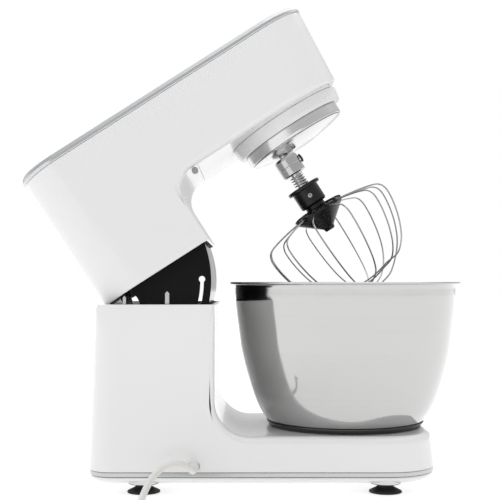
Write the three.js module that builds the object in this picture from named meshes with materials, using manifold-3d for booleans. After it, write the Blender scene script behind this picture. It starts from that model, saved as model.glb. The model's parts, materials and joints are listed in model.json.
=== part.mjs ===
// Tilt-head stand mixer, 5 litre class, standing with its head raised.
// Millimetres, +Z up, +X towards the front of the head, origin on the surface below the middle.
// The head is drawn closed (level) and its group is then turned up about the tilt hinge.
import * as THREE from 'three';
import { mergeVertices } from 'three/addons/utils/BufferGeometryUtils.js';
import Module from 'manifold-3d';

const wasm = await Module();
wasm.setup();

// ---- driving dimensions -----------------------------------------------------------------------
const GAP = 0.3;                 // clearance between touching pieces
const WALL = 3;                  // moulded wall thickness
const TILT = THREE.MathUtils.degToRad(32.7);
const HINGE = { x: -140.4, z: 205 };

const BASE = {
  rear: -153, front: 187, half: 92, rearRadius: 24, frontRadius: 50,
  footTop: 9, panTop: 18, trimTop: 22.5, deck: 56, columnTop: 182.4,
  columnRearTop: -147.5, columnFront: -30.7, fillet: 34, frontDraft: 0.12, frontLean: 19,
};
const HEAD = {
  half: 88, radius: 44, parting: 182.8, under: 250.5, trimBottom: 327, top: 334.5, crown: 5,
  rearLow: -154.6, rearHigh: -158.6, frontLow: 161.8, frontHigh: 169, legFront: -31, fillet: 25,
};
const FOOT_SPOTS = [[-100, -70], [-100, 70], [135, -70], [135, 70]];
const FOOT_NAMES = ['rear_left', 'rear_right', 'front_left', 'front_right'];

const BOWL_X = 102;              // axis shared by bowl, main shaft and planet carrier
const SEAT = { outer: 78, inner: 76.8, floor: 41.4, floorThick: 1.8, spigot: 71.5, tab: 73.4 };
const BOWL = { rim: 120, foot: 75.5, footBottom: 43.6, steel: 1.2, lug: 72.6 };
const GEAR = { module: 1.4, ring: 45, planet: 15, bottom: 238.3, top: 245.7 };
const OFFSET = GEAR.module * (GEAR.ring - GEAR.planet) / 2;   // 21 mm planet offset
const TOOL_X = BOWL_X - OFFSET;
const MOTOR = { x: -92, radius: 37, bottom: 226, top: 286, pulley: 12 };
const MAIN_PULLEY = 45;          // radius, so the motor turns 3.75 times per carrier turn
const BELT = { bottom: 301, top: 311, thick: 2.4 };

const SHROUD = { radius: 106, half: 77, plan: 33, rear: -143, slotRadius: 97, thick: 2.5 };
const PIN = { angle: THREE.MathUtils.degToRad(-31.7), radius: 1.5 };
const GUIDE = {
  x: HINGE.x + SHROUD.slotRadius * Math.cos(PIN.angle),
  z: HINGE.z + SHROUD.slotRadius * Math.sin(PIN.angle),
};
const KNOB = { x: -92, z: 104, radius: 27 };
const LEVER = { x: -52, z: 128 };

// Spindle that the tools slide on; its cross pin drives them.
const SPINDLE = { radius: 5, low: 163, pin: 1.5, pinZ: 168.5 };
const WHISK = { loops: 6, wire: 0.8, coneWide: 27.5, bottom: 49, pitch: 2.35 };

const HEAD_SWEEP = 27.2;         // radius that the head's rear lower edge sweeps about the hinge
const HINGE_BORE = 4;            // radius of the hinge pin
const CONTROL_HOLE = { knob: 6.3, lever: 5.3 };   // radii of the shaft holes in the column wall

const CORD = { radius: 3.15, exitX: -50, exitZ: 28.2, hole: 5.3, gland: 4.9, coilX: -58, coilY: -212 };
const COIL_RING = { inner: 26, outer: 46, low: 0.3, top: 12.2, bevel: 2 };
const PLUG = { rear: -20, y: -254.3, lead: 7.7, top: 15 };

// ---- materials --------------------------------------------------------------------------------
const finish = (color, roughness, metalness) =>
  new THREE.MeshStandardMaterial({ color, roughness, metalness });
const WHITE = finish(0xe9e9e9, 0.2, 0);
const PALE = finish(0xd9d9d9, 0.4, 0);
const BLACK = finish(0x1b1b1b, 0.2, 0);
const RUBBER = finish(0x2a2a2a, 0.8, 0);
const SILVER = finish(0xc4c6c8, 0.3, 0.9);
const STEEL = finish(0xb9bcc0, 0.15, 1);
const ALLOY = finish(0x9a9c9e, 0.5, 0.9);
const COPPER = finish(0xa8643a, 0.4, 0.8);
const GREEN = finish(0x2f6b45, 0.6, 0);
const NYLON = finish(0xe8e2d0, 0.6, 0);

// ---- shape helpers ----------------------------------------------------------------------------

// Turns a closed geometry into a manifold solid.
function solid(geometry) {
  const bare = geometry.index ? geometry.toNonIndexed() : geometry.clone();
  bare.deleteAttribute('normal');
  bare.deleteAttribute('uv');
  const merged = mergeVertices(bare, 1e-4);
  return new wasm.Manifold(new wasm.Mesh({
    numProp: 3,
    vertProperties: new Float32Array(merged.attributes.position.array),
    triVerts: new Uint32Array(merged.index.array),
  }));
}

// Turns a manifold solid back into a geometry.
function geometryOf(manifold) {
  const faces = manifold.getMesh();
  const geometry = new THREE.BufferGeometry();
  geometry.setAttribute('position', new THREE.BufferAttribute(faces.vertProperties, 3));
  geometry.setIndex(new THREE.BufferAttribute(faces.triVerts, 1));
  geometry.computeVertexNormals();
  return geometry;
}

// Start shape, less every other shape in the list.
const cut = (body, ...tools) =>
  geometryOf(tools.reduce((left, tool) => left.subtract(solid(tool)), solid(body)));

const join = (...bodies) =>
  geometryOf(bodies.slice(1).reduce((all, body) => all.add(solid(body)), solid(bodies[0])));

const common = (a, b) => geometryOf(solid(a).intersect(solid(b)));

// Turns a profile of [radius, z] points about a vertical axis at (x, y).
function turned(points, x = 0, y = 0, segments = 24) {
  const profile = points.map(([r, z]) => new THREE.Vector2(r, z));
  const geometry = new THREE.LatheGeometry(profile, segments);
  geometry.rotateX(Math.PI / 2);
  geometry.translate(x, y, 0);
  return outward(geometry);
}

// A ring or tube of rectangular section about a vertical axis.
const ring = (inner, outer, z0, z1, x = 0, y = 0, segments = 24) => turned(
  [[inner, z0], [outer, z0], [outer, z1], [inner, z1], [inner, z0]], x, y, segments);

const disc = (radius, z0, z1, x = 0, y = 0, segments = 20) => turned(
  [[0, z0], [radius, z0], [radius, z1], [0, z1]], x, y, segments);

// Flips a geometry whose signed volume is negative, so that its faces point out.
function outward(geometry) {
  const flat = geometry.index ? geometry.toNonIndexed() : geometry;
  const p = flat.attributes.position;
  const [a, b, c] = [new THREE.Vector3(), new THREE.Vector3(), new THREE.Vector3()];
  let volume = 0;
  for (let i = 0; i < p.count; i += 3) {
    a.fromBufferAttribute(p, i);
    b.fromBufferAttribute(p, i + 1);
    c.fromBufferAttribute(p, i + 2);
    volume += a.dot(b.cross(c));
  }
  if (volume < 0) {
    for (let i = 0; i < p.count; i += 3) {
      a.fromBufferAttribute(p, i + 1);
      b.fromBufferAttribute(p, i + 2);
      p.setXYZ(i + 1, b.x, b.y, b.z);
      p.setXYZ(i + 2, a.x, a.y, a.z);
    }
  }
  return flat;
}

// A flat outline of [x, z] points, as thick as y0 to y1.
function sideways(outline, y0, y1, curveSteps = 12) {
  const shape = outline instanceof THREE.Shape
    ? outline : new THREE.Shape(outline.map(([x, z]) => new THREE.Vector2(x, z)));
  const geometry = new THREE.ExtrudeGeometry(
    shape, { depth: y1 - y0, bevelEnabled: false, curveSegments: curveSteps });
  geometry.rotateX(Math.PI / 2);
  geometry.translate(0, y1, 0);
  return geometry;
}

// A flat outline of [x, y] points, as high as z0 to z1.
function upright(outline, z0, z1, curveSteps = 12) {
  const shape = outline instanceof THREE.Shape
    ? outline : new THREE.Shape(outline.map(([x, y]) => new THREE.Vector2(x, y)));
  const geometry = new THREE.ExtrudeGeometry(
    shape, { depth: z1 - z0, bevelEnabled: false, curveSegments: curveSteps });
  geometry.translate(0, 0, z0);
  return geometry;
}

// A box between two corners.
function block(x0, x1, y0, y1, z0, z1) {
  const geometry = new THREE.BoxGeometry(x1 - x0, y1 - y0, z1 - z0);
  geometry.translate((x0 + x1) / 2, (y0 + y1) / 2, (z0 + z1) / 2);
  return geometry;
}

// A round bar along Y from y0 to y1, centred on (x, z).
function crossBar(radius, x, z, y0, y1, segments = 16) {
  const geometry = new THREE.CylinderGeometry(radius, radius, y1 - y0, segments);
  geometry.translate(x, (y0 + y1) / 2, z);
  return geometry;
}

// Rectangle with one radius at the rear corners and one at the front corners.
function roundedPlan(x0, x1, half, rearRadius, frontRadius, steps = 5) {
  const corners = [
    [x1 - frontRadius, half - frontRadius, frontRadius, 0],
    [x0 + rearRadius, half - rearRadius, rearRadius, 1],
    [x0 + rearRadius, rearRadius - half, rearRadius, 2],
    [x1 - frontRadius, frontRadius - half, frontRadius, 3],
  ];
  return corners.flatMap(([cx, cy, r, quarter]) => Array.from({ length: steps + 1 }, (_, i) => {
    const angle = (quarter + i / steps) * Math.PI / 2;
    return [cx + r * Math.cos(angle), cy + r * Math.sin(angle)];
  }));
}

// Closed body through a stack of convex outlines with equal numbers of points.
function loft(outlines, heights) {
  const count = outlines[0].length;
  const points = outlines.flatMap((outline, k) => outline.map(([x, y]) => [x, y, heights[k]]));
  const faces = [];
  for (let k = 0; k + 1 < outlines.length; k += 1) {
    for (let i = 0; i < count; i += 1) {
      const [a, b] = [k * count + i, k * count + (i + 1) % count];
      faces.push([a, b, b + count], [a, b + count, a + count]);
    }
  }
  const last = (outlines.length - 1) * count;
  for (let i = 1; i + 1 < count; i += 1) {
    faces.push([0, i + 1, i], [last, last + i, last + i + 1]);
  }
  const geometry = new THREE.BufferGeometry();
  geometry.setAttribute('position', new THREE.Float32BufferAttribute(points.flat(), 3));
  geometry.setIndex(faces.flat());
  return geometry;
}

// Round bar of the given radius along a smooth curve through points.
function bar(points, radius, steps, sides = 8) {
  const circle = new THREE.Shape(Array.from({ length: sides }, (_, i) => {
    const angle = i / sides * 2 * Math.PI;
    return new THREE.Vector2(radius * Math.cos(angle), radius * Math.sin(angle));
  }));
  const path = new THREE.CatmullRomCurve3(points.map((p) => new THREE.Vector3(...p)));
  return outward(new THREE.ExtrudeGeometry(
    circle, { steps, extrudePath: path, bevelEnabled: false }));
}

// Coil spring about an axis along Z (or Y when lying), from a loop of points.
function coil(place, radius, wire, start, end, turns, lying = false) {
  const steps = turns * 8;
  const points = Array.from({ length: steps + 1 }, (_, i) => {
    const angle = i / steps * turns * 2 * Math.PI;
    const [u, v] = [radius * Math.cos(angle), radius * Math.sin(angle)];
    const along = start + (end - start) * i / steps;
    return lying ? [place[0] + u, along, place[1] + v] : [place[0] + u, place[1] + v, along];
  });
  return bar(points, wire, steps, 4);
}

// Point given with the head raised, carried back to the level head.
function levelled(x, z) {
  const [dx, dz] = [x - HINGE.x, z - HINGE.z];
  return [
    HINGE.x + dx * Math.cos(TILT) + dz * Math.sin(TILT),
    HINGE.z - dx * Math.sin(TILT) + dz * Math.cos(TILT),
  ];
}

// ---- groups and naming ------------------------------------------------------------------------
const mixer = new THREE.Group();
const base = new THREE.Group();
const headTurn = new THREE.Group();
const head = new THREE.Group();
headTurn.position.set(HINGE.x, 0, HINGE.z);
headTurn.rotation.y = -TILT;
head.position.set(-HINGE.x, 0, -HINGE.z);
headTurn.add(head);
mixer.add(base, headTurn);

function add(group, name, geometry, material) {
  const mesh = new THREE.Mesh(geometry, material);
  mesh.name = name;
  group.add(mesh);
}

// ---- base -------------------------------------------------------------------------------------

// Solid of the base and column, every face moved in by inset.
function baseBody(inset) {
  const b = BASE;
  const inner = inset > 0;
  const low = b.trimTop + GAP - (inner ? 5 : 0);
  const high = b.columnTop + (inner ? 5 : 0);
  const side = new THREE.Shape();
  side.moveTo(b.rear + inset, low);
  side.lineTo(b.front - inset, low);
  side.lineTo(b.front - inset - b.frontDraft * (b.deck - 4 - low), b.deck - 4);
  side.quadraticCurveTo(b.front - inset - 4, b.deck - inset, b.front - inset - 7, b.deck - inset);
  const centre = b.columnFront + b.fillet;
  side.lineTo(centre, b.deck - inset);
  side.absarc(centre, b.deck + b.fillet, b.fillet + inset, -Math.PI / 2, -Math.PI, true);
  side.lineTo(b.columnFront - inset, high);
  side.lineTo(b.columnRearTop + inset, high);
  const plan = (rear, front) => roundedPlan(
    rear + inset, front - inset, b.half - inset, b.rearRadius - inset, b.frontRadius - inset);
  const taper = loft([plan(b.rear, b.front), plan(b.columnRearTop, b.front - b.frontLean)], [low, high]);
  return common(sideways(side, -b.half - 1, b.half + 1), taper);
}

function baseHousing() {
  return cut(
    baseBody(0), baseBody(WALL),
    disc(SEAT.outer + GAP, 30, 70, BOWL_X, 0, 24),
    crossBar(HEAD_SWEEP, HINGE.x, HINGE.z, -78, 78, 32),
    crossBar(CONTROL_HOLE.knob, KNOB.x, KNOB.z, 84, 96),
    crossBar(CONTROL_HOLE.lever, LEVER.x, LEVER.z, 84, 96),
    crossBar(CORD.hole, CORD.exitX, CORD.exitZ, -BASE.half - 4, -BASE.half + 6),
  );
}

// Flat ring following the base outline, pulled in by inset.
function baseRing(insetOut, insetIn, z0, z1) {
  const b = BASE;
  const plan = (inset) => roundedPlan(
    b.rear + inset, b.front - inset, b.half - inset, b.rearRadius - inset, b.frontRadius - inset);
  return cut(upright(plan(insetOut), z0, z1), upright(plan(insetIn), z0 - 1, z1 + 1));
}

function bottomPan() {
  const b = BASE;
  const plan = (inset) => roundedPlan(
    b.rear + inset, b.front - inset, b.half - inset, 24 - inset / 3, 46 - inset / 3);
  const tub = loft([plan(20), plan(6), plan(1)], [b.footTop + 1, 12.5, b.panTop - GAP]);
  const hollow = loft([plan(22), plan(9), plan(4)], [b.footTop + 3, 14.5, b.panTop + 1]);
  const bosses = FOOT_SPOTS.map(([x, y]) => turned(
    [[0, 7.3], [8, 7.3], [15, 8.6], [15, 12], [0, 12]], x, y, 12));
  return join(cut(tub, hollow), ...bosses);
}

// Sucker foot: a flared rubber cup with a neck under the pan.
const suctionFoot = (x, y) => turned(
  [[0, 3], [9, 2.4], [15, 0], [16.2, 0], [15.5, 1.8], [9.5, 4.6], [8, 7], [0, 7]], x, y, 12);

// Cup let into the deck; three tabs on its inner spigot hold the twisted bowl down.
function bowlSeat() {
  const s = SEAT;
  const bed = s.floor + s.floorThick;
  const cup = turned([
    [0, s.floor], [s.outer, s.floor], [s.outer, BASE.deck - 0.6], [s.inner, BASE.deck - 0.6],
    [s.inner, bed], [s.spigot, bed], [s.spigot, 48.2], [s.spigot - 1.6, 48.2],
    [s.spigot - 1.6, bed], [0, bed]], BOWL_X, 0, 24);
  const tabs = [0, 1, 2].map((i) => {
    const arc = arcBand(s.spigot - 1, s.tab, i * 120 + 48, i * 120 + 72, 4);
    return upright(arc.map(([x, y]) => [x + BOWL_X, y]), 46.5, 48.2);
  });
  return join(cup, ...tabs);
}

// Outline of part of a ring between two angles in degrees.
function arcBand(inner, outer, from, to, steps = 6) {
  const at = (radius, i) => {
    const angle = THREE.MathUtils.degToRad(from + (to - from) * i / steps);
    return [radius * Math.cos(angle), radius * Math.sin(angle)];
  };
  const index = Array.from({ length: steps + 1 }, (_, i) => i);
  return [...index.map((i) => at(outer, i)), ...index.reverse().map((i) => at(inner, i))];
}

// Steel frame in the column: cross plate, two slotted cheeks and two ears that carry the hinge.
function hingeBracket() {
  const cheek = [
    [-138, 62], [-48, 62], [-48, 172], [-75, 172], [-75, 193], [-77, 195], [-79, 193], [-79, 172],
    [-117, 172], [-117, 189], [-118.5, 190.5], [-120, 189], [-120, 172], [-138, 160]];
  const ear = [
    [-134, 62], [-112, 62], [-114, 150], [-132.6, 205], [-135, 210.2], [-140.4, 212.4],
    [-145.7, 210.3], [-147.9, 205], [-146.6, 199], [-142, 190.5], [-136.2, 181], [-134, 176]];
  const parts = [
    block(-140, -48, -80, 80, 60, 63),
    sideways(cheek, 78, 80), sideways(cheek, -80, -78),
    sideways(ear, 44, 48), sideways(ear, -48, -44)];
  return cut(
    join(...parts),
    crossBar(HINGE_BORE + GAP, HINGE.x, HINGE.z, -70, 70),
    crossBar(PIN.radius + GAP, GUIDE.x, GUIDE.z, -90, 90, 16),
  );
}

// Tapered strain relief: a flange through the wall and a cone of 18 mm outside it.
function cordGland() {
  const cone = new THREE.CylinderGeometry(CORD.gland, 4, 18, 16);
  cone.translate(CORD.exitX, -BASE.half - 9.2, CORD.exitZ);
  return join(cone, crossBar(CORD.gland, CORD.exitX, CORD.exitZ, -94, -86, 16));
}

// The lead: out of the gland, over a low hump, down to the table and on to its coil.
const CORD_ROUTE = [
  [-50, -110.6, 28.2], [-50, -114.5, 28.5], [-51.2, -120.5, 30.6], [-54.6, -126.5, 34.4],
  [-61, -131, 37.7], [-69.5, -134, 37.6], [-78.5, -137.5, 33.6], [-85.6, -143, 26.2],
  [-90.4, -151, 17.6], [-93, -161, 10.2], [-94, -170.5, 6.1], [-94.2, -179, 4.4],
];

// Outer shape of the wound lead: a ring with bevelled edges.
function cordCoil() {
  const c = COIL_RING;
  const side = [[c.inner, c.low + c.bevel], [c.inner + c.bevel, c.low]];
  const edge = [[c.outer - c.bevel, c.low], [c.outer, c.low + c.bevel]];
  const over = [...side, ...edge].reverse().map(([r, z]) => [r, c.low + c.top - z]);
  return turned([...side, ...edge, ...over, side[0]], CORD.coilX, CORD.coilY, 20);
}

// Short straight stretch from the side of the coil into the plug.
const cordTail = () => bar(
  [[-33, PLUG.y, 8.2], [-27, PLUG.y, 7.9], [PLUG.rear - GAP, PLUG.y, PLUG.lead]],
  CORD.radius, 4, 8);

// Moulded two-pin mains plug lying beside the coil, its pins towards the front.
function cordPlug() {
  const body = upright(roundedPlan(0, 30, 9, 5, 3, 4), 0.4, PLUG.top);
  const pins = [-5, 5].map((y) => {
    const pin = new THREE.CylinderGeometry(2.2, 2.2, 20, 12);
    pin.rotateZ(Math.PI / 2);
    pin.translate(39, y, PLUG.lead);
    return pin;
  });
  const plug = join(body, ...pins);
  plug.translate(PLUG.rear, PLUG.y, 0);
  return plug;
}

add(base, 'base_housing', baseHousing(), WHITE);
add(base, 'base_trim_band', baseRing(0.6, 3.5, BASE.panTop, BASE.trimTop), SILVER);
add(base, 'bottom_pan', bottomPan(), WHITE);
FOOT_SPOTS.forEach(([x, y], i) => {
  add(base, `suction_foot_${FOOT_NAMES[i]}`, suctionFoot(x, y), RUBBER);
});
add(base, 'bowl_seat', bowlSeat(), WHITE);
add(base, 'hinge_bracket', hingeBracket(), STEEL);
add(base, 'guide_pin', crossBar(PIN.radius, GUIDE.x, GUIDE.z, -81, 81, 16), STEEL);
add(base, 'control_board', block(-130, -62, 12, 54, 30, 32), GREEN);
add(base, 'speed_switch', block(KNOB.x - 13, KNOB.x + 13, 81, 87, KNOB.z - 13, KNOB.z + 13), BLACK);
add(base, 'cord_gland', cordGland(), PALE);
add(base, 'power_cord', bar(CORD_ROUTE, CORD.radius, 30, 8), PALE);
add(base, 'cord_coil', cordCoil(), PALE);
add(base, 'cord_tail', cordTail(), PALE);
add(base, 'cord_plug', cordPlug(), PALE);

// ---- controls on the far side -----------------------------------------------------------------

// Round dial with a pointer rib, on a shaft through the column wall.
function speedKnob() {
  const outline = [
    [0, 88], [5.5, 88], [5.5, 93], [KNOB.radius, 93], [KNOB.radius, 97], [24, 99],
    [22.5, 112], [20, 114.5], [0, 114.5]];
  const dial = turned(outline, 0, 0, 20);
  const rib = block(-2, 2, 5, 21, 112, 116.5);
  const knob = join(dial, rib);
  knob.rotateX(-Math.PI / 2);
  knob.translate(KNOB.x, 0, KNOB.z);
  return knob;
}

// Lever outside the wall and its shaft; the hook inside sits on the shaft's end.
function releaseLever() {
  const grip = [
    [-7, -9], [3, -12], [10, -8], [13, 0], [12, 8], [4, 13], [-4, 34], [-12, 38], [-19, 34],
    [-17, 26], [-13, 4]];
  return join(
    sideways(grip.map(([x, z]) => [x + LEVER.x, z + LEVER.z]), 92.8, 101),
    crossBar(4.8, LEVER.x, LEVER.z, 85.5, 94));
}

const latchHook = () => cut(
  sideways([[-9, -8], [7, -8], [9, 0], [5, 12], [8, 19], [2, 19], [-5, 12], [-9, 4]].map(
    ([x, z]) => [x + LEVER.x, z + LEVER.z]), 81.6, 84.4),
  crossBar(2, LEVER.x, LEVER.z, 80, 86, 12));

add(base, 'speed_knob', speedKnob(), WHITE);
add(base, 'release_lever', releaseLever(), WHITE);
add(base, 'latch_hook', latchHook(), STEEL);

// ---- bowl -------------------------------------------------------------------------------------
function bowlShell() {
  const t = BOWL.steel;
  const outside = new THREE.SplineCurve([
    [78, 58], [90, 76], [99, 99], [107, 130], [111, 158], [113.8, 181], [114.4, 199],
  ].map(([r, z]) => new THREE.Vector2(r, z))).getPoints(7).map((p) => [p.x, p.y]);
  const inside = outside.map(([r, z]) => [r - t, z + (z < 60 ? 0.6 : 0)]).reverse();
  return turned([
    [0, 46.6], [68, 46.6], [73.6, 54.4], ...outside,
    [115.4, 201], [BOWL.rim, 201.6], [BOWL.rim, 204], [114, 204], ...inside,
    [72.6, 55.6], [67.4, 46.6 + t], [0, 46.6 + t],
  ], BOWL_X, 0, 28);
}

function bowlFootRing() {
  const r = BOWL.foot;
  const band = ring(r - 1.2, r, BOWL.footBottom, 54, BOWL_X, 0, 28);
  const lugs = [0, 1, 2].map((i) => {
    const arc = arcBand(BOWL.lug, r - 0.6, i * 120 + 14, i * 120 + 34, 4);
    return upright(arc.map(([x, y]) => [x + BOWL_X, y]), 44, 46);
  });
  return join(band, ...lugs);
}

add(base, 'bowl_shell', bowlShell(), STEEL);
add(base, 'bowl_foot_ring', bowlFootRing(), STEEL);

// ---- head -------------------------------------------------------------------------------------

// Front and rear ends of the head at a height.
const headEnds = (z) => {
  const h = HEAD;
  const rise = (z - h.under) / (h.top - h.under);
  const back = (z - h.parting) / (h.top - h.parting);
  return [
    THREE.MathUtils.lerp(h.rearLow, h.rearHigh, back),
    THREE.MathUtils.lerp(h.frontLow, h.frontHigh, rise)];
};

const headPlan = (z, inset) => {
  const [rear, front] = headEnds(z);
  return roundedPlan(rear + inset, front - inset, HEAD.half - inset, HEAD.radius - inset,
    HEAD.radius - inset);
};

// Solid of the head up to the trim, every face moved in by inset.
function headBody(inset) {
  const h = HEAD;
  const inner = inset > 0;
  const over = inner ? 5 : 0;
  const side = new THREE.Shape();
  const leg = h.legFront - inset;
  side.moveTo(-170, h.parting - over);
  side.lineTo(leg, h.parting - over);
  side.lineTo(leg, h.under + inset - h.fillet);
  side.absarc(h.legFront + h.fillet, h.under - h.fillet, h.fillet + inset, Math.PI, Math.PI / 2, true);
  side.lineTo(190, h.under + inset);
  side.lineTo(190, h.trimBottom - GAP + over);
  side.lineTo(-170, h.trimBottom - GAP + over);
  const levels = [h.parting - over, h.trimBottom - GAP + over];
  return common(
    sideways(side, -100, 100),
    loft(levels.map((z) => headPlan(z, inset)), levels));
}

// Upper moulding: open on top, below the leg, and under the drive where the cover closes it.
function headHousing() {
  const opening = roundedPlan(
    HEAD.legFront + 30, HEAD.frontLow - 7, HEAD.half - 7, 6, HEAD.radius - 7);
  return cut(headBody(0), headBody(WALL), upright(opening, HEAD.under - 2, HEAD.under + WALL + 2));
}

function underCover() {
  const plate = roundedPlan(
    HEAD.legFront + 30 + GAP, HEAD.frontLow - 7 - GAP, HEAD.half - 7 - GAP, 6, HEAD.radius - 7);
  return cut(
    upright(plate, HEAD.under, HEAD.under + WALL),
    disc(56, HEAD.under - 5, HEAD.under + 10, BOWL_X, 0, 48));
}

const trimBand = () => {
  const level = HEAD.trimBottom;
  return cut(
    loft([headPlan(level, -0.4), headPlan(HEAD.top, -0.4)], [level, HEAD.top]),
    loft([headPlan(level, 3.4), headPlan(HEAD.top, 3.4)], [level - 1, HEAD.top + 1]));
};

// Slightly crowned lid inside the trim band.
function topCover() {
  const h = HEAD;
  const lid = (inset, low, drop) => loft(
    [4.6, 4.6, 9, 24].map((step) => headPlan(h.top, step + inset)),
    [low, h.top + 0.4 - drop, h.top + 2.6 - drop, h.top + h.crown - drop]);
  return cut(lid(0, h.trimBottom + 2, 0), lid(2.5, h.trimBottom + 1, 2.5));
}

// Curved guard that closes the gap under the raised head and slides down into the column.
function tiltShroud() {
  const s = SHROUD;
  const body = (inset) => {
    const r = s.radius - inset;
    const start = Math.asin((186 - HINGE.z) / r);
    const shape = new THREE.Shape();
    shape.moveTo(s.rear + inset, 186 + inset * 2);
    shape.lineTo(HINGE.x + r * Math.cos(start), 186 + inset * 2);
    shape.lineTo(HINGE.x + r * Math.cos(start), 186);
    const lowFront = levelled(HINGE.x + Math.sqrt(r * r - 63 * 63), HINGE.z - 63);
    const end = Math.atan2(lowFront[1] - HINGE.z, lowFront[0] - HINGE.x);
    shape.absarc(HINGE.x, HINGE.z, r, start, end, true);
    [[-75, 142 - inset * 2], [-85, 172 - inset * 2]].forEach(([x, z]) => {
      shape.lineTo(...levelled(x, z));
    });
    shape.lineTo(s.rear + inset, 167 - inset * 2);
    const plan = roundedPlan(s.rear + inset, 0, s.half - inset, s.plan - inset, 6);
    return common(sideways(shape, -100, 100, 10), upright(plan, 60, 220));
  };
  const slotAngle = (open) => THREE.MathUtils.degToRad(open) - TILT;
  const slot = slotAround(s.slotRadius, 1.7, slotAngle(-33.6), slotAngle(1), 3.1);
  const window = cut(
    crossBar(21, ...levelled(-124, 177), -90, 90, 24),
    turnedBlock(-160, -117.4));
  return cut(
    body(0), body(s.thick), slot, window,
    block(-160, -125, -66, 66, 100, 200));
}

// Half-space box on the rear side of a vertical line drawn with the head raised.
function turnedBlock(x0, x1) {
  const corners = [[x0, 140], [x1, 140], [x1, 220], [x0, 220]].map(([x, z]) => levelled(x, z));
  return sideways(corners, -95, 95);
}

// Arc slot with a round eye at its upper end, right across the guard.
function slotAround(radius, half, from, to, eye) {
  const shape = new THREE.Shape();
  const at = (r, angle) => [HINGE.x + r * Math.cos(angle), HINGE.z + r * Math.sin(angle)];
  shape.moveTo(...at(radius - half, from));
  shape.absarc(HINGE.x, HINGE.z, radius + half, from, to, false);
  shape.absarc(HINGE.x, HINGE.z, radius - half, to, from, true);
  const [x, z] = at(radius, to);
  return join(sideways(shape, -95, 95, 8), crossBar(eye, x, z, -95, 95, 16));
}

// Cast frame: deck over the under cover, hinge lugs and the gearbox opening.
function chassis() {
  const deck = upright(roundedPlan(-146, 154, 70, 30, 30, 4), 258, 262);
  const lug = [
    [-124, 259], [-146, 259], [-148, 205], [-146, 199.5], [-140.4, 197.2], [-134.8, 199.5],
    [-132.6, 205]];
  return cut(
    join(deck, sideways(lug, 50, 56), sideways(lug, -56, -50)),
    disc(46, 250, 270, BOWL_X, 0, 40),
    disc(MOTOR.radius + 1, 250, 270, MOTOR.x, 0, 32),
    crossBar(HINGE_BORE + GAP, HINGE.x, HINGE.z, -70, 70));
}

// Bell over the gears with the bore that carries the main shaft.
const gearboxCover = () => turned([
  [7, 268], [7, 262], [14, 262], [14, 252], [43, 252], [43, 247], [45, 247], [45, 255],
  [30, 268], [7, 268]], BOWL_X, 0, 18);

// Drive skirt below the head and the bright ring under it.
const driveSkirt = () => turned([
  [57, 250.2], [57, 240], [58, 236.9], [60, 236.9], [62.4, 240], [63, 250.2], [57, 250.2]],
BOWL_X, 0, 24);
const splashRing = () => turned([
  [52, 236.5], [52, 225.6], [54.4, 225.6], [55, 226.4], [55, 236.5], [52, 236.5]], BOWL_X, 0, 24);

// Gear outline with trapezium teeth; a tooth (or a space, inside) is centred on angle zero.
function gearOutline(teeth, root, tip, rootHalf, tipHalf) {
  const pitch = 2 * Math.PI / teeth;
  return Array.from({ length: teeth }, (_, i) => [
    [root, -rootHalf], [tip, -tipHalf], [tip, tipHalf], [root, rootHalf],
  ].map(([r, part]) => [
    r * Math.cos((i + part) * pitch + Math.PI), r * Math.sin((i + part) * pitch + Math.PI)])).flat();
}

function ringGear() {
  const pitch = GEAR.module * GEAR.ring / 2;
  const hole = gearOutline(GEAR.ring, pitch - 0.7, pitch + 1.5, 0.31, 0.2);
  return cut(
    ring(pitch - 4, 42, GEAR.bottom, GEAR.top, BOWL_X, 0, 32),
    upright(hole.map(([x, y]) => [x + BOWL_X, y]), GEAR.bottom - 1, GEAR.top + 1));
}

function planetGear() {
  const pitch = GEAR.module * GEAR.planet / 2;
  const teeth = gearOutline(GEAR.planet, pitch - 1.5, pitch + 0.7, 0.25, 0.12);
  return cut(
    upright(teeth.map(([x, y]) => [x + TOOL_X, y]), GEAR.bottom + 0.2, GEAR.top - 0.2),
    disc(5.3, GEAR.bottom - 1, GEAR.top + 1, TOOL_X, 0, 20));
}

add(head, 'head_housing', headHousing(), WHITE);
add(head, 'head_under_cover', underCover(), WHITE);
add(head, 'head_trim_band', trimBand(), SILVER);
add(head, 'head_top_cover', topCover(), WHITE);
add(head, 'tilt_shroud', tiltShroud(), BLACK);
add(head, 'head_chassis', chassis(), ALLOY);
add(head, 'hinge_pin', crossBar(HINGE_BORE, HINGE.x, HINGE.z, -66, 66), STEEL);
add(head, 'lift_spring', coil([HINGE.x, HINGE.z], 6.2, 0.9, -40, 40, 7, true), STEEL);
add(head, 'gearbox_cover', gearboxCover(), ALLOY);
add(head, 'ring_gear', ringGear(), NYLON);
add(head, 'drive_skirt', driveSkirt(), WHITE);
add(head, 'splash_ring', splashRing(), SILVER);

// ---- drive train ------------------------------------------------------------------------------

// Toothed belt round the motor pulley and the large pulley.
function driveBelt() {
  const span = BOWL_X - MOTOR.x;
  const outline = (extra) => {
    const [small, large] = [MOTOR.pulley + extra, MAIN_PULLEY + extra];
    const lean = Math.acos((small - large) / span);
    const shape = new THREE.Shape();
    shape.absarc(MOTOR.x, 0, small, lean, 2 * Math.PI - lean, false);
    shape.absarc(BOWL_X, 0, large, -lean, lean, false);
    return shape;
  };
  return cut(
    upright(outline(GAP + BELT.thick), BELT.bottom, BELT.top, 14),
    upright(outline(GAP), BELT.bottom - 1, BELT.top + 1, 14));
}

const stator = () => cut(
  turned([[0, MOTOR.bottom], [MOTOR.radius, MOTOR.bottom], [MOTOR.radius, MOTOR.top],
    [0, MOTOR.top]], MOTOR.x, 0, 28),
  disc(25, MOTOR.bottom - 1, MOTOR.top - 4, MOTOR.x, 0, 28),
  disc(5, MOTOR.bottom, MOTOR.top + 1, MOTOR.x, 0, 20));

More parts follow.
